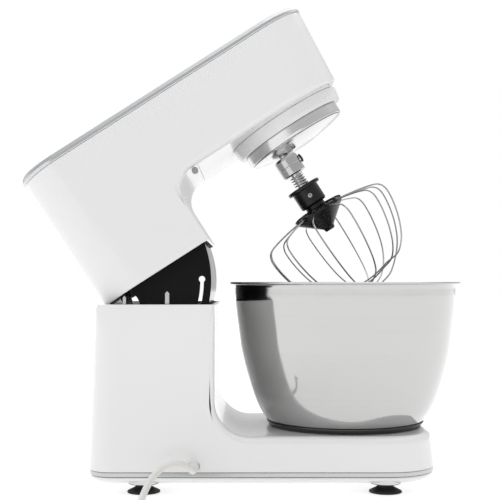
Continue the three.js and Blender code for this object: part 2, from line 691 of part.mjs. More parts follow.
const flanged = (radius, bore, x) => turned([
  [bore, BELT.bottom - 2], [radius + 3, BELT.bottom - 2], [radius + 3, BELT.bottom - 0.4],
  [radius, BELT.bottom - 0.4], [radius, BELT.top + 0.6], [bore, BELT.top + 0.6],
  [bore, BELT.bottom - 2]], x, 0, 18);

function coolingFan() {
  const blades = Array.from({ length: 8 }, (_, i) => {
    const blade = block(7, 28, -0.8, 0.8, 205, 215);
    blade.rotateZ(i * Math.PI / 4);
    blade.translate(MOTOR.x, 0, 0);
    return blade;
  });
  return join(ring(4.3, 8, 203, 216, MOTOR.x, 0, 20), ...blades);
}

const planetCarrier = () => cut(
  turned([[0, 227.4], [50.5, 227.4], [50.5, 235.6], [18, 237.6], [0, 237.6]], BOWL_X, 0, 22),
  disc(5.4, 220, 240, TOOL_X, 0, 20),
  disc(5 + GAP, 233, 240, BOWL_X, 0, 20));

const carrierCone = () => cut(
  turned([[0, 227], [51.4, 227], [51.4, 225.3], [53.6, 225.2], [53.6, 224.6], [20, 217.6], [0, 217.4]],
    BOWL_X, 0, 24),
  disc(5.4, 210, 230, TOOL_X, 0, 20));

add(head, 'motor_stator', stator(), ALLOY);
add(head, 'drive_belt', driveBelt(), RUBBER);
add(head, 'motor_shaft', disc(4, 202, 313, MOTOR.x, 0, 16), STEEL);
add(head, 'motor_armature', ring(4.3, 23.5, 230, 278, MOTOR.x, 0, 28), COPPER);
add(head, 'cooling_fan', coolingFan(), BLACK);
add(head, 'motor_pulley', flanged(MOTOR.pulley, 4.3, MOTOR.x), BLACK);
add(head, 'main_shaft', disc(5, 233.4, 313, BOWL_X, 0, 20), STEEL);
add(head, 'main_pulley', flanged(MAIN_PULLEY, 5.3, BOWL_X), BLACK);
add(head, 'planet_carrier', planetCarrier(), ALLOY);
add(head, 'carrier_cone', carrierCone(), SILVER);

// ---- tool spindle -----------------------------------------------------------------------------
const toolShaft = () => cut(
  disc(SPINDLE.radius, SPINDLE.low, 247, TOOL_X, 0, 20),
  crossBar(SPINDLE.pin + GAP, TOOL_X, SPINDLE.pinZ, -9, 9, 12));

const toolCollar = () => cut(
  turned([[5.3, 217], [5.3, 196], [12, 196], [13, 197], [13, 214.5], [11, 217], [5.3, 217]],
    TOOL_X, 0, 16),
  block(TOOL_X + 9.2, TOOL_X + 14, -3.4, 3.4, 203, 212));

const collarLatch = () => sideways([
  [9.6, 203.5], [14.2, 203.5], [16.4, 205.5], [16.4, 209.5], [14.2, 211.5], [9.6, 211.5],
].map(([x, z]) => [x + TOOL_X, z]), -3, 3);

add(head, 'planet_gear', planetGear(), NYLON);
add(head, 'tool_shaft', toolShaft(), STEEL);
add(head, 'spindle_pin', crossBar(SPINDLE.pin, TOOL_X, SPINDLE.pinZ, -7.5, 7.5, 12), STEEL);
add(head, 'tool_collar', toolCollar(), SILVER);
add(head, 'collar_latch', collarLatch(), STEEL);
add(head, 'tool_spring', coil([TOOL_X, 0], 7.2, 0.8, 194.7, 182.5, 4), STEEL);

// ---- balloon whisk ----------------------------------------------------------------------------
function whiskHub() {
  const body = turned([
    [5.4, 181], [5.4, 160], [0, 160], [0, 153.8], [10.8, 153.8], [10.8, 158.3],
    [13.6, 158.3], [14.6, 160], [14.6, 177.3], [18.3, 177.3], [18.3, 181], [5.4, 181]],
  TOOL_X, 0, 18);
  const keyway = block(TOOL_X - 1.9, TOOL_X + 1.9, -8.1, 8.1, SPINDLE.pinZ - 1.9, 182);
  return cut(body, keyway, crossBar(2.3, TOOL_X, SPINDLE.pinZ, -20, 20, 14));
}

const whiskCone = () => turned([
  [0, 153.4], [11, 153.4], [26, 152], [WHISK.coneWide, 151], [WHISK.coneWide, 148],
  [5.4, 130], [5.4, 127], [0, 127]], TOOL_X, 0, 18);

// One wire loop: out of the cone, over a tight shoulder, down and across under the axis.
function whiskWire(index) {
  const low = WHISK.bottom + index * WHISK.pitch + WHISK.wire;
  const arm = [
    [28.9, 149.6], [44, 147.2], [59, 143.8], [67.5, 140.4], [71.6, 134], [71.9, 124],
    [69.6, 110], [65, 95], [57.5, 80], [46.5, 67 + index * 0.5], [31, low + 5.2], [15, low + 1.2],
  ];
  const loop = [...arm, [0, low], ...arm.map(([r, z]) => [-r, z]).reverse()];
  const angle = ((index + 0.5) / WHISK.loops) * Math.PI;
  return bar(loop.map(([r, z]) => [
    TOOL_X + r * Math.cos(angle), r * Math.sin(angle), z]), WHISK.wire, 26, 5);
}

add(head, 'whisk_hub', whiskHub(), BLACK);
add(head, 'whisk_cone', whiskCone(), BLACK);
for (let i = 0; i < WHISK.loops; i += 1) {
  add(head, `whisk_wire_${i + 1}`, whiskWire(i), STEEL);
}

export default mixer;
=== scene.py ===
"""Visible surfaces, finishes and studio of a white tilt-head stand mixer, built round its frame."""

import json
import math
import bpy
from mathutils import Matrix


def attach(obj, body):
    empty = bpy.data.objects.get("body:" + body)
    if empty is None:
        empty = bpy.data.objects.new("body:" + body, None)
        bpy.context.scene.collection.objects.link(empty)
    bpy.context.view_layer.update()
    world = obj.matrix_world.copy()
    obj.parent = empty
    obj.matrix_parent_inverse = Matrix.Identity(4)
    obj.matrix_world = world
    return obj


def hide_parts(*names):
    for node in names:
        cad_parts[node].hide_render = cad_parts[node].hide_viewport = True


bl_info = {
    "name": "Tilt-head stand mixer",
    "version": (1, 0, 0),
    "blender": (4, 5, 0),
    "location": "View3D > Sidebar > Mixer",
    "description": "Builds the surfaces, finishes and studio of a white stand mixer",
    "category": "Object",
}

import bmesh
import bpy
import numpy as np
from bpy.props import FloatProperty, FloatVectorProperty, PointerProperty

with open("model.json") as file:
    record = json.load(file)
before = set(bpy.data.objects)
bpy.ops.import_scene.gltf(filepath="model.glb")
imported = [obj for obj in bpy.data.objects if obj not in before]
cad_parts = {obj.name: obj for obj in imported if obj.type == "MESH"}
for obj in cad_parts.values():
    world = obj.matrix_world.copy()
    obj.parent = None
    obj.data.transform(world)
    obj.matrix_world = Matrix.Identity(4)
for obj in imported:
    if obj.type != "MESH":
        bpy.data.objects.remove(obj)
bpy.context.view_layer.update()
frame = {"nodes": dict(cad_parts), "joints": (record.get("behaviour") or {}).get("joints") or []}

# ---- places taken from the frame, in millimetres ------------------------------------------------
MM = 0.001
JOINTS = {joint["name"]: joint for joint in frame["joints"]}
TILT = math.radians(-JOINTS["head_tilt"]["range_deg"][0])
HINGE = np.array(JOINTS["head_tilt"]["pos_m"]) / MM


def turned_about_hinge(points, angle):
    """Points turned in the X-Z plane: dx' = dx cos a - dz sin a, dz' = dx sin a + dz cos a."""
    dx, dz = points[..., 0] - HINGE[0], points[..., 2] - HINGE[2]
    out = np.array(points, float)
    out[..., 0] = HINGE[0] + dx * math.cos(angle) - dz * math.sin(angle)
    out[..., 2] = HINGE[2] + dx * math.sin(angle) + dz * math.cos(angle)
    return out


def box_of(node, level=False):
    """Lowest and highest corner of a node; level gives them with the head closed."""
    points = np.array([v.co for v in frame["nodes"][node].data.vertices]) / MM
    if level:
        points = turned_about_hinge(points, -TILT)
    return points.min(0), points.max(0)


BASE_LOW, BASE_HIGH = box_of("base_housing")
HEAD_LOW, HEAD_HIGH = box_of("head_housing", level=True)
TRIM_LOW, TRIM_HIGH = box_of("head_trim_band", level=True)
SEAT_LOW, SEAT_HIGH = box_of("bowl_seat")
GLAND_LOW, GLAND_HIGH = box_of("cord_gland")
PLUG_LOW, PLUG_HIGH = box_of("cord_plug")
COIL_LOW, COIL_HIGH = box_of("cord_coil")
KNOB_HIGH = box_of("speed_knob")[1]
SHAFT_LOW, SHAFT_HIGH = box_of("tool_shaft", level=True)
BOWL_X = JOINTS["bowl_twist"]["pos_m"][0] / MM
TOOL_X = (SHAFT_LOW[0] + SHAFT_HIGH[0]) / 2
KNOB_X, KNOB_Z = JOINTS["knob_turn"]["pos_m"][0] / MM, JOINTS["knob_turn"]["pos_m"][2] / MM
LEVER_X, LEVER_Z = JOINTS["lever_press"]["pos_m"][0] / MM, JOINTS["lever_press"]["pos_m"][2] / MM
EXIT = np.array([(GLAND_LOW[0] + GLAND_HIGH[0]) / 2, GLAND_LOW[1], (GLAND_LOW[2] + GLAND_HIGH[2]) / 2])


# ---- sizes and colours a user would change ------------------------------------------------------
def length(name, description, millimetres):
    """A length property in metres, with its default given in millimetres."""
    return FloatProperty(
        name=name, description=description, default=millimetres * MM, min=0.0, unit="LENGTH")


def colour(name, description, value):
    """A colour property with no alpha."""
    return FloatVectorProperty(
        name=name, description=description, default=value, size=3, min=0.0, max=1.0, subtype="COLOR")


class MixerShape(bpy.types.PropertyGroup):
    """Radii and walls of the housings."""
    wall: length("Wall", "Thickness of the moulded housings", 2.6)
    column_edge: length("Column edge", "Rounding of the column's front corners", 5.0)
    deck_edge: length("Deck edge", "Rounding of the deck's rim", 7.0)
    head_edge: length("Head edge", "Rounding of the head's lower rim", 5.5)
    column_front: length("Step behind bowl", "Depth of the column, rear to front", 122.3)
    base_fillet: length("Base fillet", "Hollow between column and deck", 34.0)
    head_fillet: length("Head fillet", "Hollow between the head and its leg", 25.0)
    base_rear_corner: length("Base rear corner", "Corner radius in plan, rear", 24.0)
    base_front_corner: length("Base front corner", "Corner radius in plan, front", 50.0)
    head_corner: length("Head corner", "Corner radius of the head in plan", 44.0)


class MixerLead(bpy.types.PropertyGroup):
    """The mains lead."""
    diameter: length("Diameter", "Thickness of the lead", 6.3)
    pitch: length("Pitch", "Distance between turns in the coil", 6.4)


class MixerColours(bpy.types.PropertyGroup):
    """Base colours of the finishes."""
    shell: colour("Shell", "Gloss white plastic", (0.80, 0.80, 0.80))
    gloss_black: colour("Gloss black", "Guard and whisk hub", (0.008, 0.008, 0.008))
    trim: colour("Trim", "Satin silver trim", (0.62, 0.63, 0.64))
    bowl: colour("Bowl", "Polished steel", (0.55, 0.55, 0.546))
    steel: colour("Steel", "Pins, wires and springs", (0.56, 0.56, 0.56))
    rubber: colour("Rubber", "Feet", (0.022, 0.021, 0.020))
    lead: colour("Lead", "Pale cord and plug", (0.72, 0.71, 0.69))


class MixerStudio(bpy.types.PropertyGroup):
    """Camera and light."""
    distance: length("Camera distance", "From the camera to the mixer's middle plane", 1050.0)
    height: length("Camera height", "Height of the lens above the floor", 204.0)
    aside: length("Camera offset", "How far the lens is in front of the origin", 3.3)
    world: FloatProperty(
        name="Room light", description="Brightness of the white room", default=0.68, min=0.0)
    floor_glow: FloatProperty(
        name="Floor glow", description="Light that the frosted table gives by itself", default=0.66, min=0.0)
    top_light: FloatProperty(
        name="Top light", description="Strength of the soft light from above", default=1.8, min=0.0)


# ---- surfaces worked out on grids ---------------------------------------------------------------
def grid_skin(grid, wrap=False):
    """Corner points and quads of a grid of points; wrap joins the last column to the first."""
    rows, columns = grid.shape[:2]
    i, j = np.meshgrid(np.arange(rows - 1), np.arange(columns if wrap else columns - 1), indexing="ij")
    right = (j + 1) % columns
    quads = np.stack(
        [i * columns + j, (i + 1) * columns + j, (i + 1) * columns + right, i * columns + right], -1)
    return grid.reshape(-1, 3), quads.reshape(-1, 4)


def arc(centre, radius, start, end, steps):
    """Centre plus radius times the cosine and sine of evenly spaced angles, in degrees."""
    angle = np.radians(np.linspace(start, end, steps + 1))
    return np.stack([centre[0] + radius * np.cos(angle), centre[1] + radius * np.sin(angle)], 1)


def softened(corners, steps=5):
    """Polyline through (a, b, radius) whose corners are arcs touching both of their sides."""
    line = []
    for k, (a, b, radius) in enumerate(corners):
        here = np.array([a, b], float)
        if radius <= 0 or k in (0, len(corners) - 1):
            line.append(here[None])
            continue
        before = np.array(corners[k - 1][:2], float) - here
        after = np.array(corners[k + 1][:2], float) - here
        reach = min(np.linalg.norm(before), np.linalg.norm(after)) * 0.499
        before, after = before / np.linalg.norm(before), after / np.linalg.norm(after)
        half = math.acos(float(np.clip(before @ after, -0.99999, 0.99999))) / 2
        radius = min(radius, reach * math.tan(half))
        middle = here + (before + after) / np.linalg.norm(before + after) * radius / math.sin(half)
        first = here + before * radius / math.tan(half) - middle
        last = here + after * radius / math.tan(half) - middle
        start = math.degrees(math.atan2(first[1], first[0]))
        swing = math.degrees(math.atan2(last[1], last[0])) - start
        swing = (swing + 180) % 360 - 180
        line.append(arc(middle, radius, start, start + swing, steps))
    return np.concatenate(line)


def revolve(profile, centre, axis="z", sides=96):
    """Profile of (radius, along) turned about an axis through centre: radius cos a, radius sin a."""
    angle = np.arange(sides) / sides * 2 * np.pi
    radius, along = np.asarray(profile, float).T[:, :, None]
    u, v, w = radius * np.cos(angle), radius * np.sin(angle), along + 0 * angle
    order = {"z": (u, v, w), "y": (u, w, v), "x": (w, u, v)}[axis]
    return grid_skin(np.stack(order, -1) + np.array(centre, float), wrap=True)


def plan_line(rear, front, half, rear_corner, front_corner, steps=10):
    """Rounded rectangle in plan, each corner a quarter circle, from the front right corner round."""
    corners = [
        (front - front_corner, half - front_corner, front_corner, 0),
        (rear + rear_corner, half - rear_corner, rear_corner, 90),
        (rear + rear_corner, rear_corner - half, rear_corner, 180),
        (front - front_corner, front_corner - half, front_corner, 270)]
    return np.concatenate([arc((x, y), r, a, a + 90, steps) for x, y, r, a in corners])


def carried(profile, plan, closed=False):
    """Profile of (inset, height) carried round a plan outline: each ring is the plan drawn in by inset."""
    rings = [
        np.column_stack([plan(inset, height), np.full(len(plan(inset, height)), height)])
        for inset, height in profile]
    return grid_skin(np.stack(rings + rings[:1] if closed else rings), wrap=True)


def lidded(profile, plan):
    """A carried profile whose first and last rings are closed by flat faces."""
    points, quads = carried(profile, plan)
    ring = len(points) // len(profile)
    return points, [*quads.tolist(), list(range(ring)), list(range(len(points) - ring, len(points)))]


def through(points, count):
    """Smooth curve through points: a Catmull-Rom spline, q = cubic blend of four neighbours."""
    p = np.asarray(points, float)
    p = np.concatenate([2 * p[:1] - p[1:2], p, 2 * p[-1:] - p[-2:-1]])
    t = np.linspace(0, len(p) - 3, count)
    k = np.minimum(t.astype(int), len(p) - 4)
    t = (t - k)[:, None]
    a, b, c, d = p[k], p[k + 1], p[k + 2], p[k + 3]
    return 0.5 * (2 * b + (c - a) * t + (2 * a - 5 * b + 4 * c - d) * t**2
                  + (3 * b - a - 3 * c + d) * t**3)


def tube(path, radius, sides=12):
    """Round bar along a path: path + radius (cos a side + sin a up), its frame turned with the path."""
    path = np.asarray(path, float)
    tangent = np.gradient(path, axis=0)
    tangent /= np.linalg.norm(tangent, axis=1)[:, None]
    side = np.cross(tangent[0], (0, 0, 1) if abs(tangent[0][2]) < 0.9 else (0, 1, 0))
    sides_along = []
    for along in tangent:
        side = side - (side @ along) * along
        side /= np.linalg.norm(side)
        sides_along.append(side)
    side = np.array(sides_along)
    up = np.cross(tangent, side)
    angle = np.arange(sides) / sides * 2 * np.pi
    radius = np.broadcast_to(np.asarray(radius, float), len(path))[:, None, None]
    ring = side[:, None] * np.cos(angle)[None, :, None] + up[:, None] * np.sin(angle)[None, :, None]
    grid = path[:, None] + radius * ring
    ends = [np.repeat(path[k][None, None], sides, 1) for k in (0, -1)]
    return grid_skin(np.concatenate([ends[0], grid, ends[1]]), wrap=True)


def slab(outline, low, high):
    """Flat outline of (x, z) carried straight from y = low to y = high and closed at both ends."""
    outline = np.asarray(outline, float)
    count = len(outline)
    points = np.concatenate([
        np.column_stack([outline[:, 0], np.full(count, y), outline[:, 1]]) for y in (low, high)])
    i = np.arange(count)
    walls = np.stack([i, (i + 1) % count, (i + 1) % count + count, i + count], 1).tolist()
    return points, [*walls, list(range(count)), list(range(count, 2 * count))]


def stepped_block(s):
    """Closed block whose side view is a tall part with a step, flat on its low side.

    Rows follow the side outline from the rear to the front. Columns run up the near side, round the
    outline's edge and across: side = low edge + w (outline - r normal - low edge), edge = outline
    - r normal (1 - sin a) with y = half - r (1 - cos a). Last, y is scaled by the plan's half width at
    x over the full half width, which rounds the corners in plan.
    """
    rear, front, top, deck, lip = s["rear"], s["front"], s["top"], s["deck"], s["lip"]
    step, fillet, nose = s["step"], s["fillet"], s["nose"]
    near = rear(top) + s["rear_corner"] * (1 - np.cos(np.radians(np.linspace(22, 90, 9))))
    span = np.concatenate([[rear(top) + lip], near, np.linspace(near[-1], step - lip, 8)[1:]])
    far = front(deck) - s["front_corner"] * (1 - np.sin(np.radians(np.linspace(0, 60, 8))))
    floor_line = np.concatenate([np.linspace(step + fillet, far[0], 8), far[1:], [front(deck) - nose]])
    up, fall = np.linspace(0, top - lip, 12), np.linspace(deck - nose, 0, 6)
    down = np.concatenate([
        np.linspace(top - lip, top - 14, 5), np.linspace(top - 14, deck + fillet, 6)[1:]])
    curves = {   # centre, radius, start, end, steps and whether the normal points away from the centre
        "rear": ((rear(top) + lip, top - lip), lip, 180, 90, 4, 1),
        "top": ((step - lip, top - lip), lip, 90, 0, 4, 1),
        "fillet": ((step + fillet, deck + fillet), fillet, 180, 270, 14, -1),
        "nose": ((front(deck) - nose, deck - nose), nose, 90, 0, 7, 1)}
    wall, rim = s["wall_edge"], s["deck_edge"]
    segments = [   # points or curve, outward normal, edge radius at both ends, low edge x at both ends
        (np.column_stack([rear(up), up]), (-1, 0), (0, 0), (rear(0), rear(0) + 6)),
        ("rear", None, (0, lip), (rear(0) + 6, rear(0) + 8)),
        (np.column_stack([span, 0 * span + top]), (0, 1), (lip, lip), (rear(0) + 8, step - 32)),
        ("top", None, (lip, lip), (step - 32, step - 28)),
        (np.column_stack([0 * down + step, down]), (1, 0), (lip, wall), (step - 28, step + 6)),
        ("fillet", None, (wall, rim), (step + 6, step + fillet)),
        (np.column_stack([floor_line, 0 * floor_line + deck]), (0, 1), (rim, rim),
         (step + fillet, front(0) - nose)),
        ("nose", None, (rim, 0), (front(0) - nose, front(0) - nose / 2)),
        (np.column_stack([front(fall), fall]), (1, 0), (0, 0), (front(0) - nose / 2, front(0)))]
    outline, normal, radius, low_edge = [], [], [], []
    for k, (points, facing, radii, feet) in enumerate(segments):
        if facing is None:
            centre, size, start, end, steps, sign = curves[points]
            points = arc(centre, size, start, end, steps)
            facing = sign * (points - np.array(centre)) / size
        run = np.concatenate([[0], np.cumsum(np.linalg.norm(np.diff(points, axis=0), axis=1))])
        share = run / run[-1]
        skip = 0 if k == 0 else 1
        outline.append(points[skip:])
        normal.append(np.broadcast_to(facing, points.shape)[skip:])
        radius.append((radii[0] + (radii[1] - radii[0]) * (share**0.5 if k == 4 else share))[skip:])
        low_edge.append((feet[0] + (feet[1] - feet[0]) * share)[skip:])
    outline, normal = np.concatenate(outline), np.concatenate(normal)
    radius, low_edge = np.concatenate(radius)[:, None], np.concatenate(low_edge)[:, None]
    half = s["half"]
    w = np.linspace(0, 1, 11)[:-1]
    bend = 1 - np.sin(np.radians(np.linspace(0, 90, 8)))
    inset = outline - normal * radius
    x_side, h_side = low_edge + (inset[:, :1] - low_edge) * w, inset[:, 1:] * w
    x_edge, h_edge = (outline[:, k:k + 1] - normal[:, k:k + 1] * radius * bend for k in (0, 1))
    y_edge = half - radius * bend[::-1]
    y_flat = (half - radius - 0.6) * np.linspace(1, -1, 13)
    x_flat, h_flat = outline[:, :1] + 0 * y_flat, outline[:, 1:] + 0 * y_flat
    x = np.concatenate([x_side, x_edge, x_flat, x_edge[:, ::-1], x_side[:, ::-1]], 1)
    h = np.concatenate([h_side, h_edge, h_flat, h_edge[:, ::-1], h_side[:, ::-1]], 1)
    y = np.concatenate([half + 0 * x_side, y_edge, y_flat, -y_edge[:, ::-1], -half + 0 * x_side], 1)
    behind = np.clip(x - rear(h), 0, s["rear_corner"]) / s["rear_corner"]
    ahead = np.clip(front(h) - x, 0, s["front_corner"]) / s["front_corner"]
    y *= 1 - (s["rear_corner"] * (1 - np.sqrt(1 - (1 - behind) ** 2))
              + s["front_corner"] * (1 - np.sqrt(1 - (1 - ahead) ** 2))) / half
    points, quads = grid_skin(np.stack([x, y, h], -1))
    index = np.arange(x.size).reshape(x.shape)
    flat_side = np.concatenate([index[0], index[1:, -1], index[-1, -2::-1], index[-2:0:-1, 0]])
    return points, [*quads.tolist(), flat_side.tolist()]


def box_cut(plan, low, high):
    """A straight-sided cutter over a plan outline."""
    return lidded([(0, low), (0, high)], lambda inset, z: plan)


# ---- meshes and pieces --------------------------------------------------------------------------
SMOOTH_UNDER = math.radians(38)


def raw_mesh(name, parts, level=False):
    """One mesh from several (points, faces) in millimetres; level parts are turned up with the head."""
    points, faces, start = [], [], 0
    for part_points, part_faces in parts:
        points.append(part_points)
        faces += [[start + int(i) for i in face] for face in part_faces]
        start += len(part_points)
    points = np.concatenate(points)
    if level:
        points = turned_about_hinge(points, TILT)
    mesh = bpy.data.meshes.new(name)
    mesh.from_pydata((points * MM).tolist(), [], faces)
    work = bmesh.new()
    work.from_mesh(mesh)
    bmesh.ops.remove_doubles(work, verts=work.verts, dist=2e-6)
    bmesh.ops.dissolve_degenerate(work, edges=work.edges, dist=1e-6)
    bmesh.ops.recalc_face_normals(work, faces=work.faces)
    work.to_mesh(mesh)
    work.free()
    return mesh


def add_object(name, mesh):
    """A new object in the scene at the origin."""
    piece = bpy.data.objects.new(name, mesh)
    bpy.context.scene.collection.objects.link(piece)
    return piece


def settle(piece):
    """Puts the result of a piece's modifiers into its mesh."""
    graph = bpy.context.evaluated_depsgraph_get()
    mesh = bpy.data.meshes.new_from_object(piece.evaluated_get(graph))
    piece.modifiers.clear()
    old, piece.data = piece.data, mesh
    bpy.data.meshes.remove(old)
    mesh.name = piece.name


def carve(piece, cutters, level=False):
    """Cuts closed (points, faces) solids out of a piece."""
    helpers = [add_object("cutter", raw_mesh("cutter", [cutter], level)) for cutter in cutters]
    for helper in helpers:
        cut = piece.modifiers.new("cut", "BOOLEAN")
        cut.operation, cut.solver, cut.object = "DIFFERENCE", "EXACT", helper
    settle(piece)
    for helper in helpers:
        mesh = helper.data
        bpy.data.objects.remove(helper)
        bpy.data.meshes.remove(mesh)


def shade(piece):
    """Smooth faces with crisp creases, and normals that follow the larger faces."""
    piece.data.shade_smooth()
    piece.data.set_sharp_from_angle(angle=SMOOTH_UNDER)
    weighted = piece.modifiers.new("weighted normals", "WEIGHTED_NORMAL")
    weighted.mode, weighted.keep_sharp = "FACE_AREA", True


def soften_edges(piece, width, segments=3):
    """Rounds a piece's crisp edges."""
    bevel = piece.modifiers.new("soft edges", "BEVEL")
    bevel.width, bevel.segments = width * MM, segments
    bevel.limit_method, bevel.angle_limit = "ANGLE", math.radians(40)


def stand_in(piece, body, material, nodes):
    """Gives a finished piece its material and its body, and hides the nodes it stands for."""
    shade(piece)
    piece.data.materials.clear()
    piece.data.materials.append(material)
    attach(piece, body)
    if nodes:
        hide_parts(*nodes)
    return piece


def make_piece(name, parts, body, material, nodes=(), level=False):
    """A piece straight from its surfaces."""
    return stand_in(add_object(name, raw_mesh(name, parts, level)), body, material, nodes)


# ---- finishes -----------------------------------------------------------------------------------
def new_group(name, inputs, outputs):
    """An empty shader node group with float, colour and vector sockets."""
    kinds = {"f": "NodeSocketFloat", "c": "NodeSocketColor", "v": "NodeSocketVector"}
    group = bpy.data.node_groups.new(name, "ShaderNodeTree")
    for label, kind in inputs.items():
        group.interface.new_socket(label, in_out="INPUT", socket_type=kinds[kind])
    for label, kind in outputs.items():
        group.interface.new_socket(label, in_out="OUTPUT", socket_type=kinds[kind])
    return group, group.nodes.new("NodeGroupInput"), group.nodes.new("NodeGroupOutput")


def noise(tree, vector, scale, detail, roughness=0.5):
    """A noise texture node; scale is a number or a socket."""
    node = tree.nodes.new("ShaderNodeTexNoise")
    node.inputs["Detail"].default_value = detail
    node.inputs["Roughness"].default_value = roughness
    tree.links.new(vector, node.inputs["Vector"])
    if isinstance(scale, (int, float)):
        node.inputs["Scale"].default_value = scale
    else:
        tree.links.new(scale, node.inputs["Scale"])
    return node.outputs["Fac"]


def maths(tree, operation, a, b):
    """A maths node; a and b are numbers or sockets."""
    node = tree.nodes.new("ShaderNodeMath")
    node.operation = operation
    for value, socket in zip((a, b), node.inputs):
        if isinstance(value, (int, float)):
            socket.default_value = value
        else:
            tree.links.new(value, socket)
    return node.outputs[0]


def spread(tree, value, low, high):
    """Maps 0.35-0.65, where noise mostly lies, on to low-high."""
    node = tree.nodes.new("ShaderNodeMapRange")
    node.inputs["From Min"].default_value, node.inputs["From Max"].default_value = 0.35, 0.65
    for label, bound in (("To Min", low), ("To Max", high)):
        if isinstance(bound, (int, float)):
            node.inputs[label].default_value = bound
        else:
            tree.links.new(bound, node.inputs[label])
    tree.links.new(value, node.inputs["Value"])
    return node.outputs["Result"]


def darker(tree, colour_socket, factor):
    """A colour times a grey factor."""
    node = tree.nodes.new("ShaderNodeVectorMath")
    node.operation = "SCALE"
    tree.links.new(colour_socket, node.inputs[0])
    tree.links.new(factor, node.inputs["Scale"])
    return node.outputs["Vector"]


def moulded_group():
    """Slow colour drift, uneven gloss and a fine grain, as on moulded plastic, paint and castings."""
    group, given, out = new_group(
        "Moulded surface",
        {"Vector": "v", "Colour": "c", "Drift": "f", "Gloss": "f", "Uneven": "f", "Grain scale": "f"},
        {"Colour": "c", "Roughness": "f", "Height": "f"})
    vector = given.outputs["Vector"]
    slow = spread(group, noise(group, vector, 7.0, 2.0), 0.0, given.outputs["Drift"])
    group.links.new(
        darker(group, given.outputs["Colour"], maths(group, "SUBTRACT", 1.0, slow)), out.inputs["Colour"])
    patches = spread(group, noise(group, vector, 38.0, 4.0, 0.6), 0.0, given.outputs["Uneven"])
    group.links.new(maths(group, "ADD", given.outputs["Gloss"], patches), out.inputs["Roughness"])
    group.links.new(noise(group, vector, given.outputs["Grain scale"], 3.0), out.inputs["Height"])
    return group


def turned_lines_group():
    """Fine lines round an upright axis: noise squeezed along the height, as polishing leaves on steel."""
    group, given, out = new_group(
        "Turned lines",
        {"Vector": "v", "Colour": "c", "Fineness": "f", "Gloss": "f", "Depth": "f"},
        {"Colour": "c", "Roughness": "f", "Height": "f"})
    squeeze = group.nodes.new("ShaderNodeVectorMath")
    squeeze.operation = "MULTIPLY"
    squeeze.inputs[1].default_value = (4.0, 4.0, 900.0)
    group.links.new(given.outputs["Vector"], squeeze.inputs[0])
    lines = noise(group, squeeze.outputs["Vector"], given.outputs["Fineness"], 2.0)
    smears = noise(group, given.outputs["Vector"], 16.0, 4.0, 0.65)
    shadow = maths(group, "MULTIPLY", spread(group, lines, 0.0, 1.0), given.outputs["Depth"])
    group.links.new(
        darker(group, given.outputs["Colour"], maths(group, "SUBTRACT", 1.0, shadow)), out.inputs["Colour"])
    worn = maths(group, "ADD", spread(group, smears, 0.0, 0.05), maths(group, "MULTIPLY", lines, 0.06))
    group.links.new(maths(group, "ADD", given.outputs["Gloss"], worn), out.inputs["Roughness"])
    group.links.new(lines, out.inputs["Height"])
    return group


def start_material(name, metallic=0.0, coat=0.0, ior=1.5, level=False):
    """A material with its Principled shader and Object coordinates, turned down with the head if level."""
    material = bpy.data.materials.new(f"finish_{name}")
    material.use_nodes = True
    tree = material.node_tree
    shader = tree.nodes["Principled BSDF"]
    shader.inputs["Metallic"].default_value = metallic
    shader.inputs["Coat Weight"].default_value = coat
    shader.inputs["Coat Roughness"].default_value = 0.04
    shader.inputs["IOR"].default_value = ior
    place = tree.nodes.new("ShaderNodeTexCoord").outputs["Object"]
    if level:
        mapping = tree.nodes.new("ShaderNodeMapping")
        mapping.inputs["Rotation"].default_value = (0.0, TILT, 0.0)
        tree.links.new(place, mapping.inputs["Vector"])
        place = mapping.outputs["Vector"]
    return material, tree, shader, place


def dress(tree, shader, place, group, values, bump):
    """Places a group with its own values and links it to the shader."""
    node = tree.nodes.new("ShaderNodeGroup")
    node.node_tree = group
    tree.links.new(place, node.inputs["Vector"])
    for label, value in values.items():
        node.inputs[label].default_value = (*value, 1.0) if label == "Colour" else value
    tree.links.new(node.outputs["Colour"], shader.inputs["Base Color"])
    tree.links.new(node.outputs["Roughness"], shader.inputs["Roughness"])
    relief = tree.nodes.new("ShaderNodeBump")
    relief.inputs["Strength"].default_value, relief.inputs["Distance"].default_value = bump
    tree.links.new(node.outputs["Height"], relief.inputs["Height"])
    tree.links.new(relief.outputs["Normal"], shader.inputs["Normal"])


def moulded(name, value, drift, gloss, uneven, grain, bump, metallic=0.0, coat=0.0, ior=1.5):
    """A plastic, rubber, paint or casting finish."""
    material, tree, shader, place = start_material(name, metallic, coat, ior)
    dress(tree, shader, place, bpy.data.node_groups["Moulded surface"],
          {"Colour": value, "Drift": drift, "Gloss": gloss, "Uneven": uneven, "Grain scale": grain}, bump)
    return material


def lined(name, value, fineness, gloss, depth, bump, level=False):
    """A turned, brushed or polished metal finish."""
    material, tree, shader, place = start_material(name, metallic=1.0, level=level)
    dress(tree, shader, place, bpy.data.node_groups["Turned lines"],
          {"Colour": value, "Fineness": fineness, "Gloss": gloss, "Depth": depth}, bump)
    return material


